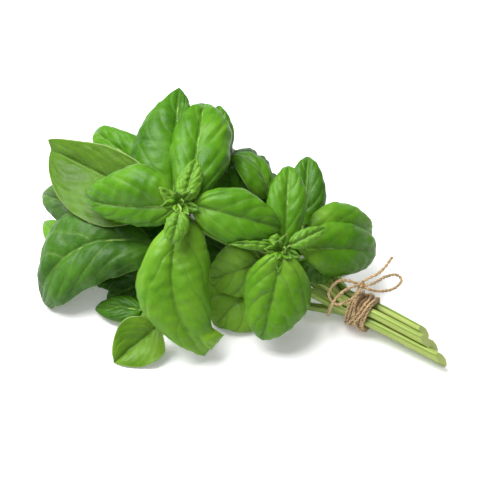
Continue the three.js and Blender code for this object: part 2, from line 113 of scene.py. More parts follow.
def addFloor():
    half = studio["floorSize"] / 2
    corners = [(-half, -half, 0), (half, -half, 0), (half, half, 0), (-half, half, 0)]
    mesh = bpy.data.meshes.new("floor")
    mesh.from_pydata(corners, [], [(0, 1, 2, 3)])
    floor = addObject("floor", mesh)
    paper = bpy.data.materials.new("floor_paper")
    paper.use_nodes = True
    surface = paper.node_tree.nodes["Principled BSDF"]
    surface.inputs["Base Color"].default_value = studio["floorColour"]
    surface.inputs["Roughness"].default_value = 0.9
    surface.inputs["Specular IOR Level"].default_value = 0.1
    surface.inputs["Emission Color"].default_value = (1, 1, 1, 1)
    surface.inputs["Emission Strength"].default_value = studio["floorGlow"]
    mesh.materials.append(paper)


def addSky():
    world = bpy.data.worlds.new("studio")
    bpy.context.scene.world = world
    world.use_nodes = True
    sky = world.node_tree.nodes["Background"]
    sky.inputs["Color"].default_value = (1, 1, 1, 1)
    sky.inputs["Strength"].default_value = studio["skyStrength"]


addCamera()
addFloor()
addSky()
addSoftbox("key_softbox", studio["keyPlace"], studio["keySize"], studio["keyPower"])
addSoftbox("fill_softbox", studio["fillPlace"], studio["fillSize"], studio["fillPower"])
bpy.context.scene.view_settings.view_transform = "Standard"
print("studio ready")


# Material helpers
def newMaterial(name):
    material = bpy.data.materials.new(name)
    material.use_nodes = True
    material.node_tree.nodes.clear()
    return material, material.node_tree


def place(tree, kind, inputs=None, **settings):
    made = tree.nodes.new("ShaderNode" + kind)
    for key, value in settings.items():
        setattr(made, key, value)
    for key, value in (inputs or {}).items():
        if isinstance(value, bpy.types.NodeSocket):
            tree.links.new(value, made.inputs[key])
        else:
            made.inputs[key].default_value = value
    return made


def calc(tree, operation, *values):
    inputs = dict(enumerate(values))
    return place(tree, "Math", inputs, operation=operation).outputs[0]


def ease(tree, value, start, end):
    # 0 before start, 1 after end, and smooth between them
    inputs = {"Value": value, "From Min": start, "From Max": end}
    return place(tree, "MapRange", inputs, interpolation_type="SMOOTHSTEP").outputs[0]


def blendColours(tree, share, first, second, kind="MIX"):
    mix = place(tree, "Mix", data_type="RGBA", blend_type=kind)
    for socket, value in zip((mix.inputs[0], mix.inputs[6], mix.inputs[7]), (share, first, second)):
        if isinstance(value, bpy.types.NodeSocket):
            tree.links.new(value, socket)
        else:
            socket.default_value = value
    return mix.outputs[2]


def colourRamp(tree, share, stops):
    ramp = place(tree, "ValToRGB", {"Fac": share})
    elements = ramp.color_ramp.elements
    for position, _ in stops[1:-1]:
        elements.new(position)
    for element, (_, colour) in zip(elements, stops):
        element.color = (*colour, 1)
    return ramp.outputs[0]


def readAttribute(tree, name):
    return place(tree, "Attribute", attribute_name=name).outputs["Fac"]


def splitAttribute(tree, name):
    whole = place(tree, "Attribute", attribute_name=name).outputs["Vector"]
    return place(tree, "SeparateXYZ", {0: whole}).outputs


def noise(tree, scale, detail=2, vector=None):
    vector = vector or place(tree, "TexCoord").outputs["Object"]
    inputs = {"Vector": vector, "Scale": scale, "Detail": detail}
    return place(tree, "TexNoise", inputs).outputs["Fac"]


# Geometry helpers
def unit(vector):
    return vector / np.linalg.norm(vector, axis=-1, keepdims=True)


def throughPoints(points, t):
    # A smooth curve through points, and its slope, at each t from 0 to 1
    points = np.asarray(points, float)
    ends = 2 * points[0] - points[1], 2 * points[-1] - points[-2]
    padded = np.vstack([ends[0], points, ends[1]])
    place = np.asarray(t, float) * (len(points) - 1)
    start = np.clip(np.floor(place).astype(int), 0, len(points) - 2)
    w = (place - start)[..., None]
    p0, p1, p2, p3 = (padded[start + k] for k in range(4))
    m1, m2 = (p2 - p0) / 2, (p3 - p1) / 2
    a, b = 2 * p1 - 2 * p2 + m1 + m2, -3 * p1 + 3 * p2 - 2 * m1 - m2
    return a * w**3 + b * w**2 + m1 * w + p1, 3 * a * w**2 + 2 * b * w + m1


def evenly(line, step):
    # The same line with points about step apart
    along = np.concatenate([[0], np.cumsum(np.linalg.norm(np.diff(line, axis=0), axis=1))])
    at = np.linspace(0, along[-1], max(4, round(along[-1] / step) + 1))
    return np.stack([np.interp(at, along, line[:, k]) for k in range(3)], axis=1)


def framesAlong(line):
    # Two directions square to the line at each point, carried along it without twisting
    tangents = unit(np.gradient(line, axis=0))
    first = np.cross(tangents[0], [0.3, 0.2, 0.93])
    sides = [unit(first)]
    for tangent in tangents[1:]:
        side = sides[-1] - tangent * (sides[-1] @ tangent)
        sides.append(unit(side))
    sides = np.array(sides)
    return tangents, sides, np.cross(tangents, sides)


def meshObject(name, points, faces, material, attributes=None):
    mesh = bpy.data.meshes.new(name)
    mesh.from_pydata(toFrame(points).tolist(), [], faces)
    mesh.shade_smooth()
    mesh.materials.append(material)
    for key, values in (attributes or {}).items():
        vector = np.ndim(values) == 2
        layer = mesh.attributes.new(key, "FLOAT_VECTOR" if vector else "FLOAT", "POINT")
        layer.data.foreach_set("vector" if vector else "value", np.asarray(values, np.float32).ravel())
    made = addObject(name, mesh)
    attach(made, "root")
    return made


def tubeFaces(rings, sides):
    # The sides of a tube, ring by ring, and then its two ends
    faces = []
    for row in range(rings - 1):
        for k in range(sides):
            a, b = row * sides + k, row * sides + (k + 1) % sides
            faces.append((a, b, b + sides, a + sides))
    last = (rings - 1) * sides
    faces.append(tuple(reversed(range(sides))))
    faces.append(tuple(last + k for k in range(sides)))
    return faces


def roundTube(line, radii, sides):
    _, across, up = framesAlong(line)
    angles = 2 * np.pi * np.arange(sides) / sides
    ring = np.cos(angles)[None, :, None] * across[:, None] + np.sin(angles)[None, :, None] * up[:, None]
    points = line[:, None] + ring * np.broadcast_to(radii, len(line))[:, None, None]
    return points.reshape(-1, 3), tubeFaces(len(line), sides)


def joinParts(parts):
    points, faces, start = [], [], 0
    for partPoints, partFaces in parts:
        points.append(partPoints)
        faces += [tuple(k + start for k in face) for face in partFaces]
        start += len(partPoints)
    return np.vstack(points), faces


# The stems, as on the CAD model: straight to the tie, then along their own routes
bundle = {
    "tie": np.array([75.0, 14.0, 10.7]),
    "turn": math.radians(9),
    "stemRadius": 2.6,
    "spacing": 5.55,
    "wrapLength": 14,
    "cutSettle": 2.8,
}
bundleAxis = np.array([math.cos(bundle["turn"]), math.sin(bundle["turn"]), 0])
bundleSide = np.array([-math.sin(bundle["turn"]), math.cos(bundle["turn"]), 0])
straightUp = np.array([0, 0, 1.0])

# Each stem's place across the bundle in spacings and rows, how far its cut end reaches past the
# tie, the radius at its tip, and its route into the leaves
stems = {
    "tall": {"place": (-0.5, 1), "cut": 43, "tip": 1.5,
             "route": [(53, 7, 22), (31, -3, 33), (6, -19, 46), (-10, -29, 60), (-15, -32, 72)]},
    "near": {"place": (-1, 0), "cut": 54, "tip": 1.6,
             "route": [(55, 2, 17), (43, -5, 28), (37, -9, 40), (35, -9, 51)]},
    "left": {"place": (0, 0), "cut": 46, "tip": 1.5,
             "route": [(50, 9, 14), (12, 4, 26), (-24, -8, 38), (-43, -14, 47), (-53, -18, 54)]},
    "low": {"place": (-0.5, -1), "cut": 53, "tip": 1.5,
            "route": [(50, 0, 7), (14, -17, 7), (-14, -34, 9), (-34, -45, 14), (-45, -52, 21)]},
    "back": {"place": (0.5, -1), "cut": 45, "tip": 1.5,
             "route": [(54, 18, 7), (32, 22, 14), (8, 20, 26), (-20, 13, 39), (-35, 8, 52), (-38, 4, 61)]},
    "right": {"place": (1, 0), "cut": 38, "tip": 1.6,
              "route": [(59, 17, 14), (53, 15, 22), (47, 10, 31), (44, 6, 39)]},
}


def acrossBundle(name):
    side, row = stems[name]["place"]
    return np.array([side * bundle["spacing"], row * bundle["spacing"] * math.sqrt(0.75)])


def bundlePoint(name, distance):
    side, height = acrossBundle(name)
    return bundle["tie"] + bundleAxis * distance + bundleSide * side + straightUp * height


def stemLine(name, t):
    reach = bundle["wrapLength"] / 2
    end = bundlePoint(name, stems[name]["cut"]) - straightUp * bundle["cutSettle"]
    points = [end, bundlePoint(name, reach + 4), bundlePoint(name, -reach - 3)]
    return throughPoints(points + list(stems[name]["route"]), t)


def pastTie(name, share):
    spans = len(stems[name]["route"]) + 2
    return (2 + share * (spans - 2)) / spans


def stemRadiusAt(name, t):
    start = pastTie(name, 0)
    share = np.clip((np.asarray(t, float) - start) / (1 - start), 0, 1)
    return bundle["stemRadius"] + (stems[name]["tip"] - bundle["stemRadius"]) * share**0.8


# The leaves, in the order they are laid: name, place of the stalk on its stem (0 at the tie, 1 at
# the tip), the blade's base and tip, its width, and what is unusual about it. Angles in degrees:
# roll turns the blade about its length, arch bends it lengthwise, fall bends its two halves down.
# sweep bows the midrib, corner pulls the margin near the tip, lean makes one half the wider, and
# a leaf that is under lies beneath the stems.
leafTable = [
    ("back_leaf_1", 0.78, (-35, 21, 50), (-52, 44, 64), 21, {"fall": (50, 40), "arch": 40}),
    ("back_leaf_2", 0.6, (-6, 12, 36), (-32, 22, 42), 34, {"arch": 30, "fall": (20, 20)}),
    ("left_leaf_1", 0.72, (-52, -13, 52), (-103, -7, 50), 27, {"arch": 50, "fall": (40, 40)}),
    ("back_leaf_3", 0.95, (-30, -20, 60), (-69, 30, 76), 41,
     {"arch": 40, "fall": (45, 40), "lean": -0.25, "outline": (0.55, 0.85)}),
    ("back_leaf_4", 0.5, (1, 24, 40), (-31, 28, 50), 26, {"arch": 110, "roll": 50, "fall": (30, 60)}),
    ("right_leaf_1", 0.55, (23, 26, 31), (1, 58, 48), 27, {"arch": 45, "fall": (45, 45)}),
    ("right_leaf_2", 0.95, (35, 14, 42), (53, 55, 24), 36,
     {"arch": 45, "fall": (40, 50), "roll": 10, "outline": (0.55, 0.65)}),
    ("right_leaf_3", 0.3, (37, 21, 23), (45, 13, 9), 19, {"arch": 30, "fall": (30, 30)}),
    ("left_leaf_2", 0.66, (-67, -37, 30), (-110, -46, 24), 30, {"arch": 40, "fall": (40, 40)}),
    ("low_leaf_1", 0.95, (-52, -61, 18), (-100, -55, 16), 20, {"arch": 40, "fall": (30, 30)}),
    ("low_leaf_2", 0.74, (-29, -43, 8), (-41, -66, 3), 24, {"arch": 30, "fall": (30, 30)}),
    ("low_leaf_3", 0.8, (-32, -31, 14), (-51, -65, 7), 30, {"arch": 50, "fall": (40, 40), "under": True}),
    ("low_leaf_4", 0.5, (-4, -57, 6), (-21, -73, 3), 16, {"arch": 20, "fall": (20, 20)}),
    ("low_leaf_5", 0.7, (-18, -62, 9), (-42, -75, 4), 17, {"arch": 40, "roll": 30, "fall": (30, 30)}),
    ("low_leaf_6", 0.58, (-1, -67, 14), (-9, -94, 2), 30,
     {"arch": -30, "fall": (-30, -30), "outline": (0.5, 0.8)}),
    ("low_leaf_7", 1.0, (-30, -38, 34), (-69, -91, 5), 56,
     {"arch": 75, "roll": 30, "fall": (50, 50), "sweep": 10, "lean": 0.2, "outline": (0.5, 0.45)}),
    ("left_leaf_3", 0.94, (-36, -24, 50), (-112, -31, 46), 44,
     {"arch": 20, "fall": (-20, -20), "lean": -0.25, "outline": (0.55, 0.75), "corner": (4, -5)}),
    ("near_leaf_1", 0.3, (22, -8, 20), (17, -43, 4), 40, {"arch": 50, "fall": (30, 40)}),
    ("tall_leaf_1", 0.4, (21, -6, 28), (1, -29, 18), 30, {"arch": 50, "fall": (40, 50)}),
    ("tall_leaf_2", 0.93, (-15, -24, 66), (-51, 31, 78), 36,
     {"arch": 45, "fall": (45, 45), "lean": 0.1, "outline": (0.7, 0.55)}),
    ("near_leaf_2", 0.85, (32, -1, 48), (10, 29, 70), 25,
     {"arch": 45, "fall": (50, 50), "outline": (0.55, 0.55)}),
    ("right_leaf_4", 1.0, (38, 8, 40), (61, 48, 20), 33,
     {"arch": 50, "fall": (45, 45), "outline": (0.55, 0.62)}),
    ("near_leaf_3", 0.9, (35, -7, 48), (48, -39, 12), 41,
     {"arch": 50, "fall": (50, 50), "lean": -0.1, "outline": (0.55, 0.65)}),
    ("tall_leaf_3", 0.9, (-12, -35, 63), (29, -63, 6), 43,
     {"arch": 55, "fall": (45, 45), "sweep": 10, "corner": (-11, 10)}),
    ("tall_leaf_4", 0.96, (-18, -32, 68), (-68, -52, 56), 38,
     {"arch": 50, "roll": -25, "fall": (50, 50), "lean": 0.2, "outline": (0.45, 0.8)}),
    ("tall_leaf_5", 0.96, (-11, -26, 69), (30, 1, 56), 33,
     {"arch": 50, "fall": (45, 45), "outline": (0.65, 0.75)}),
    ("near_leaf_4", 0.96, (31, -9, 52), (8, -20, 46), 7, {"arch": 20, "fall": (60, 60), "roll": 30}),
    ("near_leaf_5", 0.97, (38, -5, 54), (47, 15, 58), 12, {"arch": 20, "fall": (60, 60)}),
    ("near_leaf_6", 1.0, (33, -6, 54), (27, -9, 56), 8, {"arch": 20, "fall": (40, 40)}),
    ("tall_leaf_6", 1.0, (-13, -30, 75), (-22, -9, 84), 16, {"arch": 20, "fall": (50, 50)}),
    ("tall_leaf_7", 1.0, (-9, -37, 75), (-4, -51, 64), 15, {"arch": 50, "fall": (50, 50)}),
    ("left_leaf_4", 0.45, (-27, -11, 38), (-44, -36, 30), 28,
     {"arch": 30, "fall": (20, 20), "under": True}),
    ("left_leaf_5", 0.3, (15, -5, 22), (-20, -12, 22), 26, {"arch": 30, "fall": (20, 20), "under": True}),
    ("left_leaf_6", 0.2, (32, 13, 22), (7, 16, 28), 24, {"arch": 30, "fall": (20, 20), "under": True}),
    ("low_leaf_8", 0.12, (37, -12, 8), (33, -30, 2), 22, {"fall": (30, 30), "arch": 40, "under": True}),
    ("low_leaf_9", 0.56, (-16, -22, 6), (-62, -4, 2), 32, {"fall": (20, 20), "arch": 30, "under": True}),
    ("low_leaf_10", 0.35, (18, -6, 4), (-16, 6, 2), 28, {"fall": (10, 10), "arch": 20, "under": True}),
    ("left_leaf_7", 0.85, (-50, 0, 46), (-86, 14, 30), 30, {"fall": (40, 40), "arch": 45, "under": True}),
    ("back_leaf_5", 0.86, (-38, 14, 50), (-64, 44, 42), 30,
     {"fall": (40, 40), "arch": 45, "under": True}),
    ("back_leaf_6", 0.62, (-20, 24, 36), (-32, 56, 28), 30,
     {"fall": (40, 40), "arch": 45, "under": True}),
    ("back_leaf_7", 0.5, (-2, 27, 26), (2, 53, 20), 26, {"fall": (40, 40), "arch": 45, "under": True}),
    ("back_leaf_8", 0.6, (-10, 25, 24), (-10, 60, 3), 34, {"fall": (40, 40), "arch": 50, "under": True}),
    ("back_leaf_9", 0.7, (-28, 22, 33), (-50, 62, 8), 36, {"fall": (40, 40), "arch": 50, "under": True}),
    ("back_leaf_10", 0.8, (-44, 16, 43), (-84, 42, 16), 36,
     {"fall": (40, 40), "arch": 50, "under": True}),
    ("back_leaf_11", 0.28, (26, 36, 14), (14, 62, 3), 28, {"fall": (40, 40), "arch": 40, "under": True}),
    ("back_leaf_12", 0.14, (40, 30, 9), (40, 56, 2), 24, {"fall": (40, 40), "arch": 40, "under": True}),
    ("left_leaf_8", 0.75, (-42, -4, 36), (-92, 10, 12), 36,
     {"fall": (40, 40), "arch": 40, "under": True}),
]

laying = {
    "outward": unit(np.array([0.41, -0.49, 0.77])),
    "thickness": 0.6,
    "stalkRadius": 1.0,
    "layerGap": 1.9,
    "touchGap": 0.4,
    "rows": 10,
    "columns": np.array([-1, -0.5, 0, 0.5, 1]),
    "cell": 1.5,
    "passes": 14,
    "rise": math.radians(14),
    "outline": (0.55, 0.75),
    "arch": 40,
    "fall": (45, 45),
}
outward = laying["outward"]
sideways = unit(np.cross(straightUp, outward))
upward = np.cross(outward, sideways)


def leafNamed(row):
    name, at, base, tip, width, options = row
    leaf = {"name": name, "stem": name.split("_")[0], "at": at, "width": width}
    leaf["base"], leaf["tip"] = np.array(base, float), np.array(tip, float)
    return {**leaf, **options}


def midrib(leaf, shares):
    # Place, upward direction and side direction of the midrib at each share of its length
    chord = leaf["tip"] - leaf["base"]
    along = unit(chord)
    facing = unit(outward - along * (outward @ along))
    right = np.cross(along, facing)
    roll = math.radians(leaf.get("roll", 0))
    normal = facing * math.cos(roll) + right * math.sin(roll)
    side = right * math.cos(roll) - facing * math.sin(roll)
    fine = np.linspace(0, 1, 241)
    turns = math.radians(leaf.get("arch", laying["arch"])) * (0.5 - fine)
    middle = (turns[1:] + turns[:-1]) / 2
    x = np.concatenate([[0], np.cumsum(np.cos(middle) * np.diff(fine))])
    z = np.concatenate([[0], np.cumsum(np.sin(middle) * np.diff(fine))])
    scale = np.linalg.norm(chord) / math.hypot(x[-1], z[-1])
    tilt = math.atan2(z[-1], x[-1])
    forth = np.interp(shares, fine, scale * (x * math.cos(tilt) + z * math.sin(tilt)))
    out = np.interp(shares, fine, scale * (z * math.cos(tilt) - x * math.sin(tilt)))
    bow = leaf.get("sweep", 0) * np.sin(np.pi * shares)
    turn = np.interp(shares, fine, turns) - tilt
    line = leaf["base"] + np.outer(forth, along) + np.outer(out, normal) + np.outer(bow, side)
    up = np.outer(np.cos(turn), normal) - np.outer(np.sin(turn), along)
    return line, up, side, along


def halfWidth(leaf, shares, hand):
    low, high = leaf.get("outline", laying["outline"])
    fullest = low / (low + high)
    shape = shares**low * (1 - shares) ** high / (fullest**low * (1 - fullest) ** high)
    half = leaf["width"] / 2 * (1 + hand * leaf.get("lean", 0))
    return np.maximum(laying["stalkRadius"] * (1 - 0.5 * shares), half * shape)


def bladeSurface(leaf, shares, columns, tipShare):
    # Each half is an arc that rises from the midrib and then falls to its margin
    line, up, side, along = midrib(leaf, shares)
    held = np.minimum(shares, tipShare)
    grid = np.zeros((len(shares), len(columns), 3))
    aside, back = leaf.get("corner", (0, 0))
    for k, column in enumerate(columns):
        hand = np.sign(column)
        fall = math.radians(leaf.get("fall", laying["fall"])[0 if hand < 0 else 1])
        rise, bend, reach = laying["rise"], laying["rise"] + fall, abs(column)
        width = halfWidth(leaf, held, hand)
        out = (math.sin(rise) - math.sin(rise - bend * reach)) / bend
        high = (math.cos(rise - bend * reach) - math.cos(rise)) / bend
        grid[:, k] = line + np.outer(hand * width * out, side) + up * (width * high)[:, None]
        if hand * aside > 0:
            pull = reach * np.maximum(0, (held - 0.7) / 0.3) ** 2
            grid[:, k] += np.outer(aside * pull, side) - np.outer(back * pull, along)
    return grid


# Height maps of what has been laid so far, in cells seen along the outward direction
mapSize = 320
highest = np.full((mapSize, mapSize), -np.inf)
lowest = np.full((mapSize, mapSize), np.inf)


def seenCell(points):
    cell = laying["cell"]
    half = mapSize // 2
    return points @ sideways / cell + half, points @ upward / cell + half, points @ outward


def coveredCells(corners):
    x, y, height = seenCell(corners)
    area = (x[1] - x[0]) * (y[2] - y[0]) - (x[2] - x[0]) * (y[1] - y[0])
    if abs(area) < 1e-6:
        return np.zeros(0, int), np.zeros(0, int), np.zeros(0)
    i, j = np.meshgrid(np.arange(math.floor(x.min()), math.ceil(x.max()) + 1),
                       np.arange(math.floor(y.min()), math.ceil(y.max()) + 1), indexing="ij")
    toB = ((i - x[0]) * (y[2] - y[0]) - (x[2] - x[0]) * (j - y[0])) / area
    toC = ((x[1] - x[0]) * (j - y[0]) - (i - x[0]) * (y[1] - y[0])) / area
    toA = 1 - toB - toC
    inside = np.minimum(np.minimum(toA, toB), toC) >= -0.12
    return i[inside], j[inside], (toA * height[0] + toB * height[1] + toC * height[2])[inside]


def note(i, j, top, bottom):
    np.maximum.at(highest, (i, j), top)
    np.minimum.at(lowest, (i, j), bottom)


def gridTriangles(rows, columns):
    for r in range(rows - 1):
        for k in range(columns - 1):
            yield (r, k), (r + 1, k), (r + 1, k + 1)
            yield (r, k), (r + 1, k + 1), (r, k + 1)


def soften(least):
    lift = least
    for _ in range(laying["passes"]):
        wide = np.pad(lift, 1, mode="edge")
        around = wide[:-2, 1:-1] + wide[2:, 1:-1] + wide[1:-1, :-2] + wide[1:-1, 2:]
        lift = np.maximum(least, (around + 2 * lift) / 6)
    return lift


def layGrid(grid, under):
    # Moves a leaf's points outwards until it clears all that has been laid, and notes its own place
    thickness, gap = laying["thickness"], laying["layerGap"]
    least = np.zeros(grid.shape[:2])
    if not under:
        least = np.maximum(0, (thickness - grid[..., 2]) / outward[2])
    triangles = list(gridTriangles(*grid.shape[:2]))
    for triangle in triangles:
        corners = np.array([grid[spot] for spot in triangle])
        i, j, height = coveredCells(corners)
        edge = lowest[i, j] if under else highest[i, j]
        need = height - (edge - gap) if under else edge + gap - height
        need = need[np.isfinite(need)]
        for spot in triangle:
            least[spot] = max(least[spot], need.max(initial=-np.inf))
    lift = soften(least)[..., None] * outward
    laid = grid - lift if under else grid + lift
    laid[..., 2] = np.maximum(laid[..., 2], thickness + 0.1)
    for triangle in triangles:
        i, j, height = coveredCells(np.array([laid[spot] for spot in triangle]))
        note(i, j, height, height - thickness)
    return laid


def layRound(line, radii):
    # Adds a round stem or stalk to the height maps, as balls along its line
    for point, radius in zip(line, radii):
        x, y, height = seenCell(point)
        reach = math.ceil(radius / laying["cell"])
        around = np.arange(-reach, reach + 1)
        i, j = np.meshgrid(math.floor(x + 0.5) + around, math.floor(y + 0.5) + around, indexing="ij")
        away = np.hypot(i - x, j - y) * laying["cell"]
        near = away <= radius
        half = np.sqrt(radius**2 - away[near] ** 2)
        note(i[near], j[near], height + half, height - half)


def bezier(p0, p1, p2, p3, t):
    t = np.asarray(t, float)[:, None]
    return (1 - t) ** 3 * p0 + 3 * (1 - t) ** 2 * t * p1 + 3 * (1 - t) * t**2 * p2 + t**3 * p3


def stalkLine(leaf, grid, t):
    # From just off the stem to the base of the blade, and the point on the stem's middle it grows from
    middle = grid.shape[1] // 2
    end = grid[0, middle]
    ahead = unit(grid[1, middle] - end)
    at = pastTie(leaf["stem"], leaf["at"])
    root, axis = stemLine(leaf["stem"], at)
    axis = unit(axis)
    away = end - root
    away = unit(away - axis * (away @ axis))
    if leaf["at"] == 1:
        away = unit(away * 0.7 + axis * 0.3)
    start = root + away * (stemRadiusAt(leaf["stem"], at) + laying["touchGap"])
    reach = np.linalg.norm(end - start) / 3
    return bezier(start, start + away * reach, end - ahead * reach, end, t), root


def layEverything():
    for name in stems:
        t = np.linspace(0, 1, 161)
        layRound(stemLine(name, t)[0], stemRadiusAt(name, t))
    laid = []
    for row in leafTable:
        leaf = leafNamed(row)
        shares = np.linspace(0, 1, laying["rows"] + 1)
        flat = bladeSurface(leaf, shares, laying["columns"], 0.985)
        grid = layGrid(flat, leaf.get("under", False))
        line, _ = stalkLine(leaf, grid, np.linspace(0, 1, 21))
        layRound(line, np.full(21, laying["stalkRadius"]))
        laid.append((leaf, grid, grid - flat))
    return laid


laidLeaves = layEverything()
print(f"{len(laidLeaves)} leaves laid")


# Twine
twine = {
    "diameter": 1.7,
    "plies": 2,
    "plyRadius": 0.5,
    "plyOffset": 0.36,
    "pitch": 5.2,  # of the plies' twist
    "ringStep": 0.6,
    "fibresPerMillimetre": 2.2,
    "fibreLength": (0.8, 1.9),
    "knotRadius": 3.3,
    "tableGap": 0.15,
    "colour": (0.61, 0.43, 0.235),
    "darkColour": (0.26, 0.165, 0.065),
    "seed": 11,
}
twineRandom = np.random.default_rng(twine["seed"])

bowRoutes = {
    "right": [(74, 23, 24), (75, 33, 21), (77, 41, 17), (81, 41, 15), (82, 31, 18), (78, 22, 22)],
    "up": [(71, 22, 27), (74, 26, 29), (76, 31, 33), (77, 35, 38)],
    "left": [(66, 15, 27), (61, 11, 28), (59, 6, 25), (60, 3, 21), (66, 2, 20), (71, 4, 25), (73, 9, 26)],
    "down": [(69, 9, 30), (68, 2, 31), (67, -3, 27), (62, 0, 9)],
}


def twineMaterial():
    material, tree = newMaterial("jute")
    where = place(tree, "TexCoord").outputs["Object"]
    fine = noise(tree, 1400, 3, where)
    broad = noise(tree, 160, 2, where)
    share = calc(tree, "ADD", calc(tree, "MULTIPLY", fine, 0.65), calc(tree, "MULTIPLY", broad, 0.35))
    dark, bright = (*twine["darkColour"], 1), (*twine["colour"], 1)
    colour = blendColours(tree, ease(tree, share, 0.34, 0.62), dark, bright)
    bump = place(tree, "Bump", {"Height": fine, "Strength": 0.5, "Distance": 0.0002})
    surface = place(tree, "BsdfPrincipled", {
        "Base Color": colour, "Roughness": 0.88, "Specular IOR Level": 0.25, "Sheen Weight": 0.25,
        "Normal": bump.outputs[0]})
    place(tree, "OutputMaterial", {"Surface": surface.outputs[0]})
    return material


def softened(line):
    # Takes the sharp bends out of a line, with its two ends held
    for _ in range(3):
        line[1:-1] = (line[:-2] + 2 * line[1:-1] + line[2:]) / 4
    return line


def twistedPlies(line):
    # Two plies laid round the line, each a round tube whose radius varies a little along it
    line = softened(evenly(line, twine["ringStep"]))
    _, across, up = framesAlong(line)
    along = np.arange(len(line)) * np.linalg.norm(line[1] - line[0])
    parts = []
    for ply in range(twine["plies"]):
        angle = 2 * np.pi * (along / twine["pitch"] + ply / twine["plies"])
        centre = line + twine["plyOffset"] * (np.cos(angle)[:, None] * across + np.sin(angle)[:, None] * up)
        radii = twine["plyRadius"] * (1 + 0.1 * np.sin(along * 1.9 + ply) + 0.05 * np.sin(along * 5.1))
        radii[[0, -1]] *= 0.75
        parts.append(roundTube(centre, radii, 9))
    return parts, line


def looseFibres(line, many):
    parts = []
    tangents, across, up = framesAlong(line)
    for _ in range(many):
        spot = twineRandom.integers(1, len(line) - 1)
        angle = twineRandom.uniform(0, 2 * np.pi)
        out = math.cos(angle) * across[spot] + math.sin(angle) * up[spot]
        lean = unit(tangents[spot] * twineRandom.choice([-1, 1]) + out * twineRandom.uniform(0.2, 0.9))
        length = twineRandom.uniform(*twine["fibreLength"])
        start = line[spot] + out * 0.6
        bend = unit(np.cross(lean, out)) * twineRandom.uniform(-0.35, 0.35)
        t = np.linspace(0, 1, 5)[:, None]
        fibre = start + lean * length * t + bend * length * t**2
        if (fibre[:, 2] < 0.2).any():
            continue
        parts.append(roundTube(fibre, np.linspace(0.06, 0.03, 5), 3))
    return parts


def twinePiece(name, line, material):
    parts, rope = twistedPlies(line)
    length = np.linalg.norm(np.diff(rope, axis=0), axis=1).sum()
    parts += looseFibres(rope, round(length * twine["fibresPerMillimetre"]))
    points, faces = joinParts(parts)
    return meshObject(name, points, faces, material), rope, length


def fullBow(first, last):
    # Out from the knot, round a loop, back through the knot and out to a loose end
    route = [knotCentre] + bowRoutes[first] + [knotCentre] + bowRoutes[last]
    return throughPoints(route, np.linspace(0, 1, 400))[0]


def hullPath(clearance, steps=240):
    # The closed line round the six stems at the tie, as (side, height) pairs at even angles round it
    places = [acrossBundle(name) for name in stems]
    outline = []
    for angle in 2 * np.pi * np.arange(steps + 1) / steps:
        facing = np.array([math.cos(angle), math.sin(angle)])
        outer = max(places, key=lambda spot: spot @ facing)
        outline.append(outer + (bundle["stemRadius"] + clearance) * facing)
    return np.array(outline)


# Each turn of twine: where it crosses the top and the underside, along the bundle, and how far
# it rides on the turns below it
turnsOfTwine = [
    (-5.6, -5.9, 0), (-3.9, -4.2, 0), (-2.0, -2.4, 0), (-0.2, -0.6, 0), (1.7, 1.2, 0), (3.6, 3.0, 0),
    (5.4, 4.6, 0), (4.6, -4.6, 1.25), (2.6, -5.6, 1.3), (-2.6, 5.6, 1.3),
]


def turnsLine():
    outline = hullPath(0.35 + twine["diameter"] / 2)
    step = np.linalg.norm(np.diff(outline, axis=0), axis=1)
    along = np.concatenate([[0], np.cumsum(step)]) / step.sum()
    toKnot = (knotCentre - bundle["tie"]) @ np.stack([bundleSide, straightUp], axis=1)
    start = along[np.argmin(np.linalg.norm(outline - toKnot, axis=1))]
    line = []
    for number, (top, under, ride) in enumerate(turnsOfTwine):
        following = turnsOfTwine[min(number + 1, len(turnsOfTwine) - 1)]
        for share in np.arange(0, 1, 1 / 90):
            place = (start + share) % 1
            side, height = (np.interp(place, along, outline[:, k]) for k in (0, 1))
            swing = (1 - math.cos(2 * math.pi * share)) / 2
            drift = share * share * (3 - 2 * share)
            above = top + (following[0] - top) * drift
            axial = above + (under - top) * swing
            lift = ride + (following[2] - ride) * drift
            out = unit(np.array([side, height])) * lift
            middle = bundle["tie"] + bundleAxis * axial
            line.append(middle + bundleSide * (side + out[0]) + straightUp * (height + out[1]))
    # Its two ends come from the knot
    first = np.linspace(knotCentre, line[0], 8)[:-1]
    last = np.linspace(line[-1], knotCentre - bundleAxis, 8)[1:]
    line = np.vstack([first, line, last])
    # The lowest turns lie flat on the table
    line[:, 2] = np.maximum(line[:, 2], twine["diameter"] / 2 + twine["tableGap"])
    return line


def pulledKnot():
    # A small overhand knot, flattened onto the stems
    t = np.linspace(0, 2 * np.pi, 160)
    wide = twine["knotRadius"] / 3
    x = (np.sin(t) + 2 * np.sin(2 * t)) * wide * 0.62
    y = (np.cos(t) - 2 * np.cos(2 * t)) * wide * 0.62
    z = -np.sin(3 * t) * wide * 0.9
    flat = unit(np.array([0.1, 0.35, 0.93]))
    right = unit(np.cross(bundleSide, flat))
    return knotCentre + np.outer(x, right) + np.outer(y, np.cross(flat, right)) + np.outer(z, flat)


def addTwine():
    material = twineMaterial()
    turns, rope, length = twinePiece("twine_turns", turnsLine(), material)
    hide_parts("twine_wrap")
    knot, _, _ = twinePiece("twine_knot_pulled", pulledKnot(), material)
    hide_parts("twine_knot")
    for hand, last in (("right", "up"), ("left", "down")):
        bow, rope, length = twinePiece("twine_bow_" + hand, fullBow(hand, last), material)
        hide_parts("twine_loop_" + hand, "twine_tail_" + last)
        print("bow", hand, round(length, 1), "mm")
    print("twine made")


addTwine()


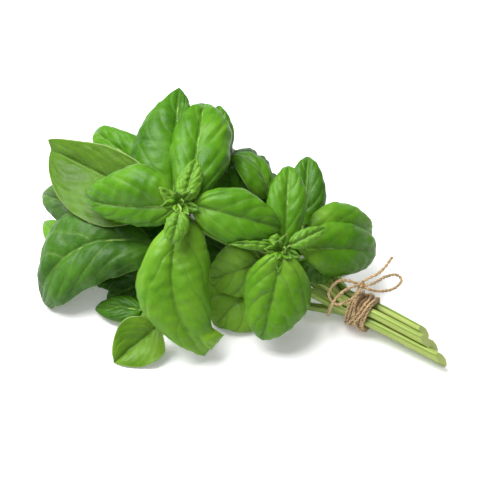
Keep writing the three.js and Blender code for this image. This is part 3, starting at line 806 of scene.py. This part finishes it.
# Stems
stemLook = {
    "sides": 28,
    "ringStep": 0.9,
    "squareness": 0.05,
    "grooveDepth": 0.34,
    "grooves": 4,
    "nodeSwell": 0.14,  # of the radius, where a stalk leaves the stem
    "nodeLength": 2.6,
    "uneven": 0.03,  # how much the radius varies, as a share of it
    "tableGap": 0.15,
    "cutSlant": 1.3,  # the upper side of each cut end is shorter than the lower
    "pale": (0.35, 0.42, 0.10),
    "green": (0.16, 0.32, 0.03),
    "groove": (0.09, 0.20, 0.015),
    # groove is painted shade along the floor of each long groove
    "pith": (0.38, 0.44, 0.15),
    "worn": (0.30, 0.30, 0.09),
    "seed": 5,
}
stemRandom = np.random.default_rng(stemLook["seed"])


def stemMaterial():
    material, tree = newMaterial("basil_stem")
    grain = place(tree, "Attribute", attribute_name="grain").outputs["Vector"]
    leafy = readAttribute(tree, "leafy")
    cut = readAttribute(tree, "cutFace")
    groove = readAttribute(tree, "groove")
    stripes = noise(tree, 3.2, 3, grain)
    patches = noise(tree, 70, 3)
    pale, green = (*stemLook["pale"], 1), (*stemLook["green"], 1)
    base = blendColours(tree, leafy, pale, green)
    line = calc(tree, "MULTIPLY", ease(tree, stripes, 0.46, 0.64), 0.72)
    colour = blendColours(tree, line, base, green)
    # Painted shade along the floors of the long grooves
    colour = blendColours(tree, calc(tree, "MULTIPLY", groove, 0.85), colour, (*stemLook["groove"], 1))
    worn = calc(tree, "MULTIPLY", ease(tree, patches, 0.58, 0.75), 0.25)
    colour = blendColours(tree, worn, colour, (*stemLook["worn"], 1))
    colour = blendColours(tree, cut, colour, (*stemLook["pith"], 1))
    height = calc(tree, "ADD", calc(tree, "MULTIPLY", stripes, 0.6), noise(tree, 900, 2))
    bump = place(tree, "Bump", {"Height": height, "Strength": 0.22, "Distance": 0.0003})
    surface = place(tree, "BsdfPrincipled", {
        "Base Color": colour, "Roughness": 0.4, "IOR": 1.42, "Normal": bump.outputs[0],
        "Subsurface Weight": 0.12, "Subsurface Scale": 0.002, "Subsurface Radius": (1.0, 1.2, 0.3)})
    place(tree, "OutputMaterial", {"Surface": surface.outputs[0]})
    return material


def stemRings(name):
    # Even rings along a stem: how far along each one lies, its share of the line, centre and radius
    t = np.linspace(0, 1, 700)
    line = stemLine(name, t)[0]
    along = np.concatenate([[0], np.cumsum(np.linalg.norm(np.diff(line, axis=0), axis=1))])
    at = np.linspace(0, along[-1], max(30, round(along[-1] / stemLook["ringStep"])))
    shares = np.interp(at, along, t)
    radii = stemRadiusAt(name, shares)
    for row in leafTable:
        if row[0].split("_")[0] == name:
            node = np.interp(pastTie(name, row[1]), t, along)
            away = (at - node) / stemLook["nodeLength"]
            radii = radii * (1 + stemLook["nodeSwell"] * np.exp(-away**2))
    uneven = stemRandom.uniform(-stemLook["uneven"], stemLook["uneven"], 16)
    wobble = np.interp(at, np.linspace(0, along[-1], 16), uneven)
    return at, shares, stemLine(name, shares)[0], radii * (0.97 + wobble)


def stemSection(at, radii, angles):
    # The radius round each ring, a little squared and with long grooves, and how deep each groove is
    phase = stemRandom.uniform(0, 2 * np.pi)
    square = stemLook["squareness"] * np.cos(4 * angles + phase)
    beat = np.cos(stemLook["grooves"] * angles[None] + phase + 0.5 * np.sin(at / 17)[:, None])
    groove = np.clip((beat - 0.45) / 0.55, 0, 1)
    depth = stemLook["grooveDepth"] * radii[:, None] / bundle["stemRadius"]
    return radii[:, None] * (1 + square) - depth * groove, groove


def cutFace(rim, inwards, start):
    # Rings from the rim of a cut end to its slightly sunken middle, with their faces and paleness
    sides = len(rim)
    middle = rim.mean(axis=0)
    edge, inner = middle + (rim - middle) * 0.86, middle + (rim - middle) * 0.4
    points = np.vstack([rim, edge, inner + inwards * 0.25, middle + inwards * 0.35])
    faces = []
    for row in range(2):
        for k in range(sides):
            a, b = start + row * sides + k, start + row * sides + (k + 1) % sides
            faces.append((b, a, a + sides, b + sides))
    for k in range(sides):
        a, b = start + 2 * sides + k, start + 2 * sides + (k + 1) % sides
        faces.append((b, a, start + 3 * sides))
    pale = np.concatenate([np.full(sides, 0.3), np.full(sides, 0.8), np.ones(sides + 1)])
    return points, faces, pale


def stemSkin(name, material):
    at, shares, line, radii = stemRings(name)
    tangents, across, up = framesAlong(line)
    rings, sides = len(line), stemLook["sides"]
    angles = 2 * np.pi * np.arange(sides) / sides
    section, groove = stemSection(at, radii, angles)
    ring = np.cos(angles)[None, :, None] * across[:, None] + np.sin(angles)[None, :, None] * up[:, None]
    points = line[:, None] + ring * section[..., None]
    slant = np.clip(1 - at / 9, 0, 1)[:, None] * (points[..., 2] - line[:, None, 2] + radii[:, None])
    points += tangents[:, None] * (slant * stemLook["cutSlant"])[..., None]
    skin = points.reshape(-1, 3)
    skin[:, 2] = np.maximum(skin[:, 2], stemLook["tableGap"])
    last = (rings - 1) * sides
    faces = tubeFaces(rings, sides)[:-2] + [tuple(last + k for k in range(sides))]
    leafy = np.clip((shares - pastTie(name, 0.05)) / 0.25, 0, 1) * 0.75
    grain = np.stack([np.broadcast_to(np.cos(angles), section.shape),
                      np.broadcast_to(np.sin(angles), section.shape),
                      np.broadcast_to(at[:, None] * 0.012, section.shape)], axis=-1).reshape(-1, 3)
    capPoints, capFaces, pale = cutFace(skin[:sides], tangents[0], len(skin))
    none = np.zeros(len(capPoints))
    attributes = {
        "leafy": np.concatenate([np.repeat(leafy, sides), none]),
        "groove": np.concatenate([groove.ravel(), none]),
        "cutFace": np.concatenate([np.zeros(len(skin)), pale]),
        "grain": np.vstack([grain, np.zeros((len(capPoints), 3))]),
    }
    piece = meshObject(name + "_stem_skin", np.vstack([skin, capPoints]), faces + capFaces,
                       material, attributes)
    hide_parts(name + "_stem")


def addStems():
    material = stemMaterial()
    for name in stems:
        stemSkin(name, material)
    print("stems made")


addStems()


# Leaf blades
blade = {
    "spacing": 0.75,  # of the mesh on leaves that show
    "hiddenSpacing": 1.3,
    "thickness": 0.35,
    "fuller": 1.12,  # makes up for the width that the curled margins take
    "rounder": (0.8, 0.92),  # the same for the fullness towards the base and the tip
    "veinGap": 0.235,  # between side veins, as a share of the blade's length
    "veinLean": 0.2,
    "veinCurve": 0.48,
    "rightOffset": 0.35,  # of the right half's veins against the left half's
    "grooveDepth": 0.55,
    "grooveWidth": 0.55,
    "quilting": 0.45,
    "midribDepth": 0.55,
    "midribWidth": 0.9,
    "doming": 1.2,  # of each half between the midrib and the margin
    "waves": 0.42,
    "ripples": 0.16,
    "marginWave": 0.7,
    "marginCurl": 3.0,  # how far the margin and the tip bend down
    "tipCurl": 3.0,
    "tipStart": 0.78,  # where the tip begins to bend, as a share of the length
    "flapLift": 1.6,
    "stalkRadius": 0.95,
    "ribEnd": 0.88,  # where the raised rib beneath ends
    "tableGap": 0.2,
    # The darkest stop, deep, is also what paints shade on leaves given a low tone
    "deep": (0.010, 0.075, 0.001),
    "middle": (0.088, 0.280, 0.005),
    "light": (0.225, 0.465, 0.03),
    "youngDeep": (0.05, 0.19, 0.006),
    "youngMiddle": (0.16, 0.38, 0.022),
    "youngLight": (0.25, 0.48, 0.05),
    "olive": (0.17, 0.25, 0.02),
    # A greyish painted sheen, standing in for the gloss on some leaves
    "paintedSheenColour": (0.20, 0.30, 0.12),
    "veinPale": (0.26, 0.44, 0.09),
    "underside": (0.20, 0.33, 0.09),
    "stalk": (0.30, 0.46, 0.10),
    "throughLight": (0.17, 0.44, 0.01),
    # Painted shade in the vein grooves and the midrib groove
    "paintedGrooveShade": (0.30, 0.45, 0.25),  # darkens the floor of each groove
    # A paler margin, partly the leaf's own edge and partly a painted highlight along the rim
    "margin": (0.40, 0.52, 0.18),
    "undersideVein": (0.34, 0.47, 0.17),
    "stalkShade": (0.20, 0.36, 0.06),
    "seed": 23,
}

# How each leaf differs: tone runs from dark to light and is partly the leaf's own colour and partly
# painted light and shade, for how lit or shadowed the leaf lies; olive tints it, grey paints a greyish
# sheen on it, and crease deepens its veins. curl and tipCurl are shares of the usual bend of its
# margins and tip, fuller and rounder replace the usual ones above, crinkle roughens a young leaf, and
# flap lifts a pulled corner and paints light on it. Leaves not named here lie hidden beneath the
# others, and look like hiddenLook, whose low tone is painted shade.
leafLook = {
    "back_leaf_1": {"toneAndPaintedLight": 0.4},
    "back_leaf_2": {"toneAndPaintedLight": 0.35, "crease": 0.6},
    "left_leaf_1": {"toneAndPaintedLight": 0.42},
    "back_leaf_3": {"toneAndPaintedLight": 0.32, "tipCurl": 0, "rounder": (1, 1)},
    "back_leaf_4": {"toneAndPaintedLight": 0.5},
    "right_leaf_1": {"toneAndPaintedLight": 0.28, "crease": 0.8},
    "right_leaf_2": {"toneAndPaintedLight": 0.66, "crease": 0.9},
    "right_leaf_3": {"toneAndPaintedLight": 0.3, "fuller": 1.5},
    "left_leaf_2": {"toneAndPaintedLight": 0.12, "paintedSheen": 0.5, "crease": 0.7},
    "low_leaf_1": {"toneAndPaintedLight": 0.66, "crease": 0.8},
    "low_leaf_2": {"toneAndPaintedLight": 0.08},
    "low_leaf_3": {"toneAndPaintedLight": 0.15},
    "low_leaf_4": {"toneAndPaintedLight": 0.5},
    "low_leaf_5": {"toneAndPaintedLight": 0.2},
    "low_leaf_6": {"toneAndPaintedLight": 0.6, "olive": 0.5, "crease": 0.4, "curl": 0, "tipCurl": 0.4,
                   "rounder": (1, 1)},
    "low_leaf_7": {"toneAndPaintedLight": 0.13, "paintedSheen": 0.15, "crease": 1.5},
    "left_leaf_3": {"toneAndPaintedLight": 0.2, "olive": 0.45, "crease": 0.6, "curl": 0, "tipCurl": 0,
                    "rounder": (1, 1)},
    "near_leaf_1": {"toneAndPaintedLight": 0.85, "crease": 1.1, "fuller": 1.25},
    "tall_leaf_1": {"toneAndPaintedLight": 0.9, "crease": 1.1, "fuller": 1.3},
    "tall_leaf_2": {"toneAndPaintedLight": 0.47, "crease": 1.1},
    "near_leaf_2": {"toneAndPaintedLight": 0.5, "crease": 1.0},
    "right_leaf_4": {"toneAndPaintedLight": 0.52, "crease": 0.7},
    "near_leaf_3": {"toneAndPaintedLight": 0.62, "crease": 1.1},
    "tall_leaf_3": {"toneAndPaintedLight": 0.7, "flapLiftAndPaintedLight": 0.55},
    "tall_leaf_4": {"toneAndPaintedLight": 0.45, "crease": 1.2},
    "tall_leaf_5": {"toneAndPaintedLight": 0.5, "crease": 1.0},
    "near_leaf_4": {"toneAndPaintedLight": 0.4, "crease": 0.9, "crinkle": 0.14},
    "near_leaf_5": {"toneAndPaintedLight": 0.4, "crease": 0.9, "crinkle": 0.2},
    "near_leaf_6": {"toneAndPaintedLight": 0.5, "crease": 0.9, "crinkle": 0.15},
    "tall_leaf_6": {"toneAndPaintedLight": 0.4, "crease": 0.9, "crinkle": 0.24},
    "tall_leaf_7": {"toneAndPaintedLight": 0.45, "crease": 0.9, "crinkle": 0.24},
}


# Hidden leaves get a low tone: painted shade for the dark hollows beneath the others
hiddenLook = {"toneAndPaintedLight": 0.12, "crease": 0.8, "fuller": 1.3}


def leafMaterial(name, young):
    material, tree = newMaterial(name)
    phase, across, gap = splitAttribute(tree, "vein")
    length, aside, inset = splitAttribute(tree, "spot")
    toneAndPaintedLight, olive, paintedSheen = splitAttribute(tree, "tintAndPaintedLight")
    below = readAttribute(tree, "below")
    stalk = readAttribute(tree, "stalk")
    strength = readAttribute(tree, "crease")

    # Distances in millimetres from the nearest side vein and from the midrib
    right = calc(tree, "MULTIPLY", calc(tree, "GREATER_THAN", across, 0), blade["rightOffset"])
    turn = calc(tree, "FRACT", calc(tree, "ADD", calc(tree, "ADD", phase, right), 0.5))
    toVein = calc(tree, "MULTIPLY", calc(tree, "ABSOLUTE", calc(tree, "SUBTRACT", turn, 0.5)), gap)
    toRib = calc(tree, "ABSOLUTE", aside)
    coordinates = place(tree, "TexCoord").outputs["Object"]
    broad = noise(tree, 55, 3, coordinates)
    fine = noise(tree, 420, 3, coordinates)
    net = place(tree, "TexVoronoi", {"Vector": coordinates, "Scale": 620}, feature="DISTANCE_TO_EDGE")
    netLine = ease(tree, net.outputs["Distance"], 0.12, 0.0)

    inner = ease(tree, inset, 0.3, 3.5)
    vanish = calc(tree, "MULTIPLY", inner, strength)
    veinBand = calc(tree, "MULTIPLY", ease(tree, toVein, 1.3, 0.25), vanish)
    veinCore = calc(tree, "MULTIPLY", ease(tree, toVein, 0.34, 0.06), vanish)
    ribBand = calc(tree, "MULTIPLY", ease(tree, toRib, 1.0, 0.3), ease(tree, length, 1.0, 0.75))
    ribCore = calc(tree, "MULTIPLY", ease(tree, toRib, 0.42, 0.12), ease(tree, length, 1.0, 0.75))

    # tone adds painted light and shade as well as each leaf's own tone; the broad and fine noise is the
    # leaf's own mottle
    mottleAndPaintedLight = calc(tree, "ADD", toneAndPaintedLight, calc(tree, "MULTIPLY", calc(tree, "SUBTRACT", broad, 0.5), 0.75))
    mottleAndPaintedLight = calc(tree, "ADD", mottleAndPaintedLight, calc(tree, "MULTIPLY", calc(tree, "SUBTRACT", fine, 0.5), 0.22))
    nearBase = calc(tree, "MULTIPLY", ease(tree, length, 0.35, 0.0), 0.22)
    mottleAndPaintedLight = calc(tree, "ADD", mottleAndPaintedLight, nearBase)
    deep, middle, light = blade["deep"], blade["middle"], blade["light"]
    if young:
        deep, middle, light = blade["youngDeep"], blade["youngMiddle"], blade["youngLight"]
    colour = colourRamp(tree, mottleAndPaintedLight, [(0.0, deep), (0.5, middle), (1.0, light)])
    colour = blendColours(tree, calc(tree, "MULTIPLY", olive, 0.7), colour, (*blade["olive"], 1))
    # Painted sheen: a greyish tint where a leaf shows gloss
    colour = blendColours(tree, calc(tree, "MULTIPLY", paintedSheen, 0.6), colour, (*blade["paintedSheenColour"], 1))
    pale = (*blade["veinPale"], 1)
    colour = blendColours(tree, calc(tree, "MULTIPLY", veinBand, 0.2), colour, pale)
    colour = blendColours(tree, calc(tree, "MULTIPLY", ribBand, 0.3), colour, pale)
    # Painted shade darkens the floor of each vein groove and of the midrib groove
    dark = (*blade["paintedGrooveShade"], 1)
    colour = blendColours(tree, calc(tree, "MULTIPLY", veinCore, 0.32), colour, dark, "MULTIPLY")
    colour = blendColours(tree, calc(tree, "MULTIPLY", ribCore, 0.4), colour, dark, "MULTIPLY")
    colour = blendColours(tree, calc(tree, "MULTIPLY", netLine, 0.10), colour, pale)
    # A paler margin, partly the leaf's own edge and partly a painted highlight along the rim
    margin = calc(tree, "MULTIPLY", ease(tree, inset, 0.8, 0.1), 0.6)
    colour = blendColours(tree, margin, colour, (*blade["margin"], 1))
    raised = calc(tree, "MULTIPLY", calc(tree, "MAXIMUM", veinBand, ribBand), 0.55)
    under = blendColours(tree, raised, (*blade["underside"], 1), (*blade["undersideVein"], 1))
    colour = blendColours(tree, below, colour, under)
    streaks = ease(tree, fine, 0.35, 0.7)
    stalkColour = blendColours(tree, streaks, (*blade["stalk"], 1), (*blade["stalkShade"], 1))
    colour = blendColours(tree, stalk, colour, stalkColour)

    height = calc(tree, "ADD", calc(tree, "MULTIPLY", netLine, -0.5), calc(tree, "MULTIPLY", fine, 0.8))
    height = calc(tree, "SUBTRACT", height, calc(tree, "MULTIPLY", veinCore, 1.0))
    bump = place(tree, "Bump", {"Height": height, "Strength": 0.3, "Distance": 0.0003})
    rough = calc(tree, "ADD", 0.27, calc(tree, "MULTIPLY", broad, 0.16))
    rough = calc(tree, "ADD", rough, calc(tree, "MULTIPLY", below, 0.2))
    surface = place(tree, "BsdfPrincipled", {
        "Base Color": colour, "Roughness": rough, "Specular IOR Level": 0.24,
        "Normal": bump.outputs[0]})
    glow = blendColours(tree, 0.35, (*blade["throughLight"], 1), colour)
    through = place(tree, "BsdfTranslucent", {"Color": glow, "Normal": bump.outputs[0]})
    thin = calc(tree, "MULTIPLY", calc(tree, "SUBTRACT", 1, stalk), 0.3)
    mixed = place(tree, "MixShader", {0: thin, 1: surface.outputs[0], 2: through.outputs[0]})
    place(tree, "OutputMaterial", {"Surface": mixed.outputs[0]})
    return material


def easedRow(steps):
    # Rows from base to tip, closer together at both ends where the outline turns fast
    t = np.linspace(0, 1, steps)
    return 0.55 * t + 0.45 * (1 - np.cos(np.pi * t)) / 2


def softWaves(random, x, y, count, longest, shortest):
    # Low hills with a height of about one
    total = np.zeros(np.broadcast(x, y).shape)
    for _ in range(count):
        angle, phase = random.uniform(0, 2 * np.pi, 2)
        wave = random.uniform(shortest, longest)
        total += np.sin(2 * np.pi * (x * math.cos(angle) + y * math.sin(angle)) / wave + phase)
    return total / math.sqrt(count)


def flapShare(leaf, u, v):
    # 1 on the pulled corner of a leaf, and 0 elsewhere
    hand = np.sign(leaf.get("corner", (0, 0))[0])
    return np.clip((u - 0.76) / 0.1, 0, 1) * np.clip((hand * v - 0.22) / 0.15, 0, 1)


def bladeDetail(leaf, random, u, v, aside, inset, length, look):
    # Height of the upper face over the plain blade, in millimetres
    crease = look.get("crease", 0.8)
    size = min(1.0, leaf["width"] / 30)
    bend = softWaves(random, u * length, aside, 3, 40, 18) * 0.12
    phase = (u - blade["veinLean"] * np.abs(v) - blade["veinCurve"] * v**2 - 0.02) / blade["veinGap"]
    phase = phase + bend
    shifted = phase + blade["rightOffset"] * (v > 0)
    nearest = np.round(shifted)
    strengths = random.uniform(0, 1, (2, 24)) ** 0.8 * 1.1 + 0.1
    each = strengths[(v > 0).astype(int), np.clip(nearest.astype(int) + 8, 0, 23)]
    gap = blade["veinGap"] * length * 0.75
    toVein = np.abs(shifted - nearest) * gap
    fade = np.clip(inset / 5, 0, 1) ** 0.7 * np.clip((shifted + 1.2) / 1.2, 0, 1)
    groove = -blade["grooveDepth"] * each * crease * np.exp(-(toVein / blade["grooveWidth"]) ** 2)
    pillow = blade["quilting"] * crease * (0.5 - 0.5 * np.cos(2 * np.pi * (shifted - nearest))) ** 0.8
    pillow *= np.clip(np.abs(aside) / 4, 0, 1) * np.clip(0.4 + 0.6 * each, 0, 1)
    height = (groove + pillow * size) * fade
    rib = -blade["midribDepth"] * np.exp(-(aside / blade["midribWidth"]) ** 2)
    height = height + rib * np.clip((1 - u) / 0.3, 0, 1) * np.clip(u / 0.06, 0, 1)
    calm = np.clip(np.minimum(u, 1 - u) / 0.15, 0, 1)
    height += blade["doming"] * size * np.sin(np.pi * np.abs(v)) * calm
    height += blade["waves"] * size * softWaves(random, u * length, aside, 4, 34, 15) * calm
    height += blade["ripples"] * size * softWaves(random, u * length, aside, 5, 8, 4.5) * calm
    height += look.get("crinkle", 0) * softWaves(random, u * length, aside, 6, 5, 2.6) * calm
    edge = np.abs(v) ** 4 * calm
    height += blade["marginWave"] * size * edge * softWaves(random, u * length, 6 * np.sign(v), 3, 26, 11)
    height -= blade["marginCurl"] * size * np.abs(v) ** 4 * calm * look.get("curl", 1)
    tipShare = np.clip((u - blade["tipStart"]) / (1 - blade["tipStart"]), 0, 1)
    height -= blade["tipCurl"] * look.get("tipCurl", 1) * size * tipShare**2
    if "flapLiftAndPaintedLight" in look:
        share = flapShare(leaf, u, v)
        height += blade["flapLift"] * share - 4 * share * (1 - share)
    return height - 0.15, phase, gap


def bladeMesh(leaf, lift, random, look, spacing):
    # The whole leaf as points, faces and values at the points
    length = np.linalg.norm(leaf["tip"] - leaf["base"]) * 1.03
    rows = max(12, round(length / spacing))
    columns = 2 * max(4, round(leaf["width"] * 1.1 / spacing / 2)) + 1
    u, v = easedRow(rows), np.linspace(-1, 1, columns)
    full = 1 + (look.get("fuller", blade["fuller"]) - 1) * look.get("curl", 1)
    low, high = leaf.get("outline", laying["outline"])
    rounder = look.get("rounder", blade["rounder"])
    shape = {"width": leaf["width"] * full, "outline": (low * rounder[0], high * rounder[1])}
    grid = bladeSurface({**leaf, **shape}, u, v, 0.9985)
    alongWeights = throughPoints(np.eye(lift.shape[0]), u)[0]
    acrossWeights = throughPoints(np.eye(lift.shape[1]), (v + 1) / 2)[0]
    grid += np.einsum("ri,ck,ikd->rcd", alongWeights, acrossWeights, lift)
    step = np.linalg.norm(np.diff(grid, axis=1), axis=2)
    travelled = np.concatenate([np.zeros((rows, 1)), np.cumsum(step, axis=1)], axis=1)
    aside = travelled - travelled[:, columns // 2][:, None]
    inset = np.minimum(travelled, travelled[:, -1:] - travelled)
    alongShare = np.broadcast_to(u[:, None], aside.shape)
    acrossShare = np.broadcast_to(v[None], aside.shape)
    height, phase, gap = bladeDetail(leaf, random, alongShare, acrossShare, aside, inset, length, look)
    normal = unit(np.cross(np.gradient(grid, axis=1), np.gradient(grid, axis=0)))
    # Near its two ends the blade is too narrow to have a steady direction of its own
    ends = ((0.05, np.clip((0.05 - u) / 0.04, 0, 1)), (0.93, np.clip((u - 0.93) / 0.04, 0, 1)))
    for near, share in ends:
        steady = normal[np.searchsorted(u, near), columns // 2]
        normal = unit(normal * (1 - share)[:, None, None] + steady * share[:, None, None])
    top = grid + normal * height[..., None]
    thickness = blade["thickness"] * np.clip(0.45 + inset / 1.5, 0, 1)
    bottom = top - normal * thickness[..., None]
    top[..., 2] = np.maximum(top[..., 2], blade["tableGap"] + blade["thickness"])
    bottom[..., 2] = np.maximum(bottom[..., 2], blade["tableGap"] + 0.1)

    number = np.arange(rows * columns).reshape(rows, columns)
    corners = [number[:-1, :-1], number[:-1, 1:], number[1:, 1:], number[1:, :-1]]
    upper = np.stack([c.ravel() for c in corners], axis=1)
    lower = upper[:, ::-1] + rows * columns
    loop = np.concatenate([number[0], number[1:, -1], number[-1, -2::-1], number[-2:0:-1, 0]])
    following = np.roll(loop, -1)
    shift = rows * columns
    rim = np.stack([loop + shift, following + shift, following, loop], axis=1)
    faces = np.vstack([upper, lower, rim]).tolist()
    points = np.vstack([top.reshape(-1, 3), bottom.reshape(-1, 3)])
    vein = np.stack([phase, acrossShare, np.full_like(aside, gap)], axis=-1).reshape(-1, 3)
    spot = np.stack([alongShare, aside, inset], axis=-1).reshape(-1, 3)
    values = {"vein": np.vstack([vein, vein]), "spot": np.vstack([spot, spot])}
    values["below"] = np.repeat([0.0, 1.0], shift)
    return points, faces, values, grid, normal, u


def stalkAndRib(leaf, coarse, grid, normal, u):
    # The stalk, then the raised midrib along the underside
    middle = grid.shape[1] // 2
    ribs = np.arange(0, np.searchsorted(u, blade["ribEnd"]), 2)
    radius = blade["stalkRadius"] * (1 if leaf["width"] > 18 else 0.7)
    taper = 0.8 * radius * (1 - 0.8 * u[ribs] / blade["ribEnd"])
    depth = blade["thickness"] + blade["midribDepth"] * np.clip(u[ribs] / 0.06, 0, 1) + 0.15 + 0.6 * taper
    under = grid[ribs, middle] - normal[ribs, middle] * depth[:, None]
    line, root = stalkLine(leaf, coarse, np.linspace(0, 1, 12))
    start = root + (line[0] - root) * 0.45
    whole = np.vstack([start, line[:-1], under[1:]])
    radii = np.concatenate([[radius * 1.15], np.linspace(radius * 1.1, radius * 0.9, 11), taper[1:]])
    whole[:, 2] = np.maximum(whole[:, 2], radii + 0.15)
    return roundTube(whole, radii, 9)


def leafPiece(name, parts, material):
    points, faces, keep = [], [], {}
    start = 0
    for partPoints, partFaces, values in parts:
        points.append(partPoints)
        faces += [[k + start for k in face] for face in partFaces]
        start += len(partPoints)
        for key, value in values.items():
            keep.setdefault(key, []).append(value)
    attributes = {key: np.concatenate(value) for key, value in keep.items()}
    return meshObject(name, np.vstack(points), faces, material, attributes)


def leafParts(leaf, lift, coarse, look, spacing, random, withStalk=True):
    points, faces, values, grid, normal, u = bladeMesh(leaf, lift, random, look, spacing)
    tintAndPaintedLight = [look.get("toneAndPaintedLight", 0.3), look.get("olive", 0), look.get("paintedSheen", 0)]
    tintsAndPaintedLight = np.tile(tintAndPaintedLight, (len(points), 1))
    # A pulled corner is given a higher tone, a painted highlight where it catches the light
    tintsAndPaintedLight[:, 0] += look.get("flapLiftAndPaintedLight", 0) * flapShare(leaf, values["spot"][:, 0], values["vein"][:, 1])
    crease = min(1.0, look.get("crease", 0.8))
    parts = [(points, faces, {**values, "stalk": np.zeros(len(points)), "tintAndPaintedLight": tintsAndPaintedLight,
                              "crease": np.full(len(points), crease)})]
    if withStalk:
        stalkPoints, stalkFaces = stalkAndRib(leaf, coarse, grid, normal, u)
        many = len(stalkPoints)
        plain = {"vein": np.zeros((many, 3)), "spot": np.tile([0, 9, 9], (many, 1))}
        parts.append((stalkPoints, stalkFaces, {
            **plain, "below": np.zeros(many), "stalk": np.ones(many),
            "tintAndPaintedLight": np.tile(tintAndPaintedLight, (many, 1)), "crease": np.zeros(many)}))
    return parts


def addLeaves():
    grown, young = leafMaterial("basil_leaf", False), leafMaterial("young_basil_leaf", True)
    for number, (leaf, coarse, lift) in enumerate(laidLeaves):
        name = leaf["name"]
        look = leafLook.get(name, hiddenLook)
        random = np.random.default_rng([blade["seed"], number])
        spacing = blade["spacing"] if name in leafLook else blade["hiddenSpacing"]
        if leaf["width"] < 18:
            spacing *= 0.6
        small = leaf["width"] < 17
        parts = leafParts(leaf, lift, coarse, look, spacing, random)
        material, slot = (young, "young_leaf") if small else (grown, "leaf")
        piece = leafPiece(name + "_blade", parts, material)
        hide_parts(name)
    print("leaves made")
    return young


youngMaterial = addLeaves()


# The small unopened leaves round the tips of two stems
buds = {
    "stems": ("tall", "near"),
    "many": 9,
    "length": 13,
    "spacing": 0.4,
    "seed": 3,
}


def addBuds():
    random = np.random.default_rng(buds["seed"])
    for stem in buds["stems"]:
        top = stemLine(stem, 1.0)[0]
        parts = []
        for number in range(buds["many"]):
            share = number / (buds["many"] - 1)
            turn = math.radians(137.5) * number + random.uniform(-0.3, 0.3)
            spread = 1.0 - 0.75 * share
            around = math.cos(turn) * sideways + math.sin(turn) * upward
            aim = unit(outward * (1.15 - spread) + around * spread)
            length = buds["length"] * (1 - 0.35 * share) * random.uniform(0.85, 1.1)
            leaf = {"base": top + aim * 0.5, "tip": top + aim * length, "width": length * 0.62}
            leaf.update(arch=random.uniform(-30, 30), fall=(55, 55), roll=random.uniform(-20, 20))
            look = {"toneAndPaintedLight": random.uniform(0.3, 0.7), "crease": 1.0, "crinkle": 0.12}
            parts += leafParts(leaf, np.zeros((11, 5, 3)), None, look, buds["spacing"], random, False)
        leafPiece(stem + "_bud_leaves", parts, youngMaterial)
    print("buds made")


addBuds()
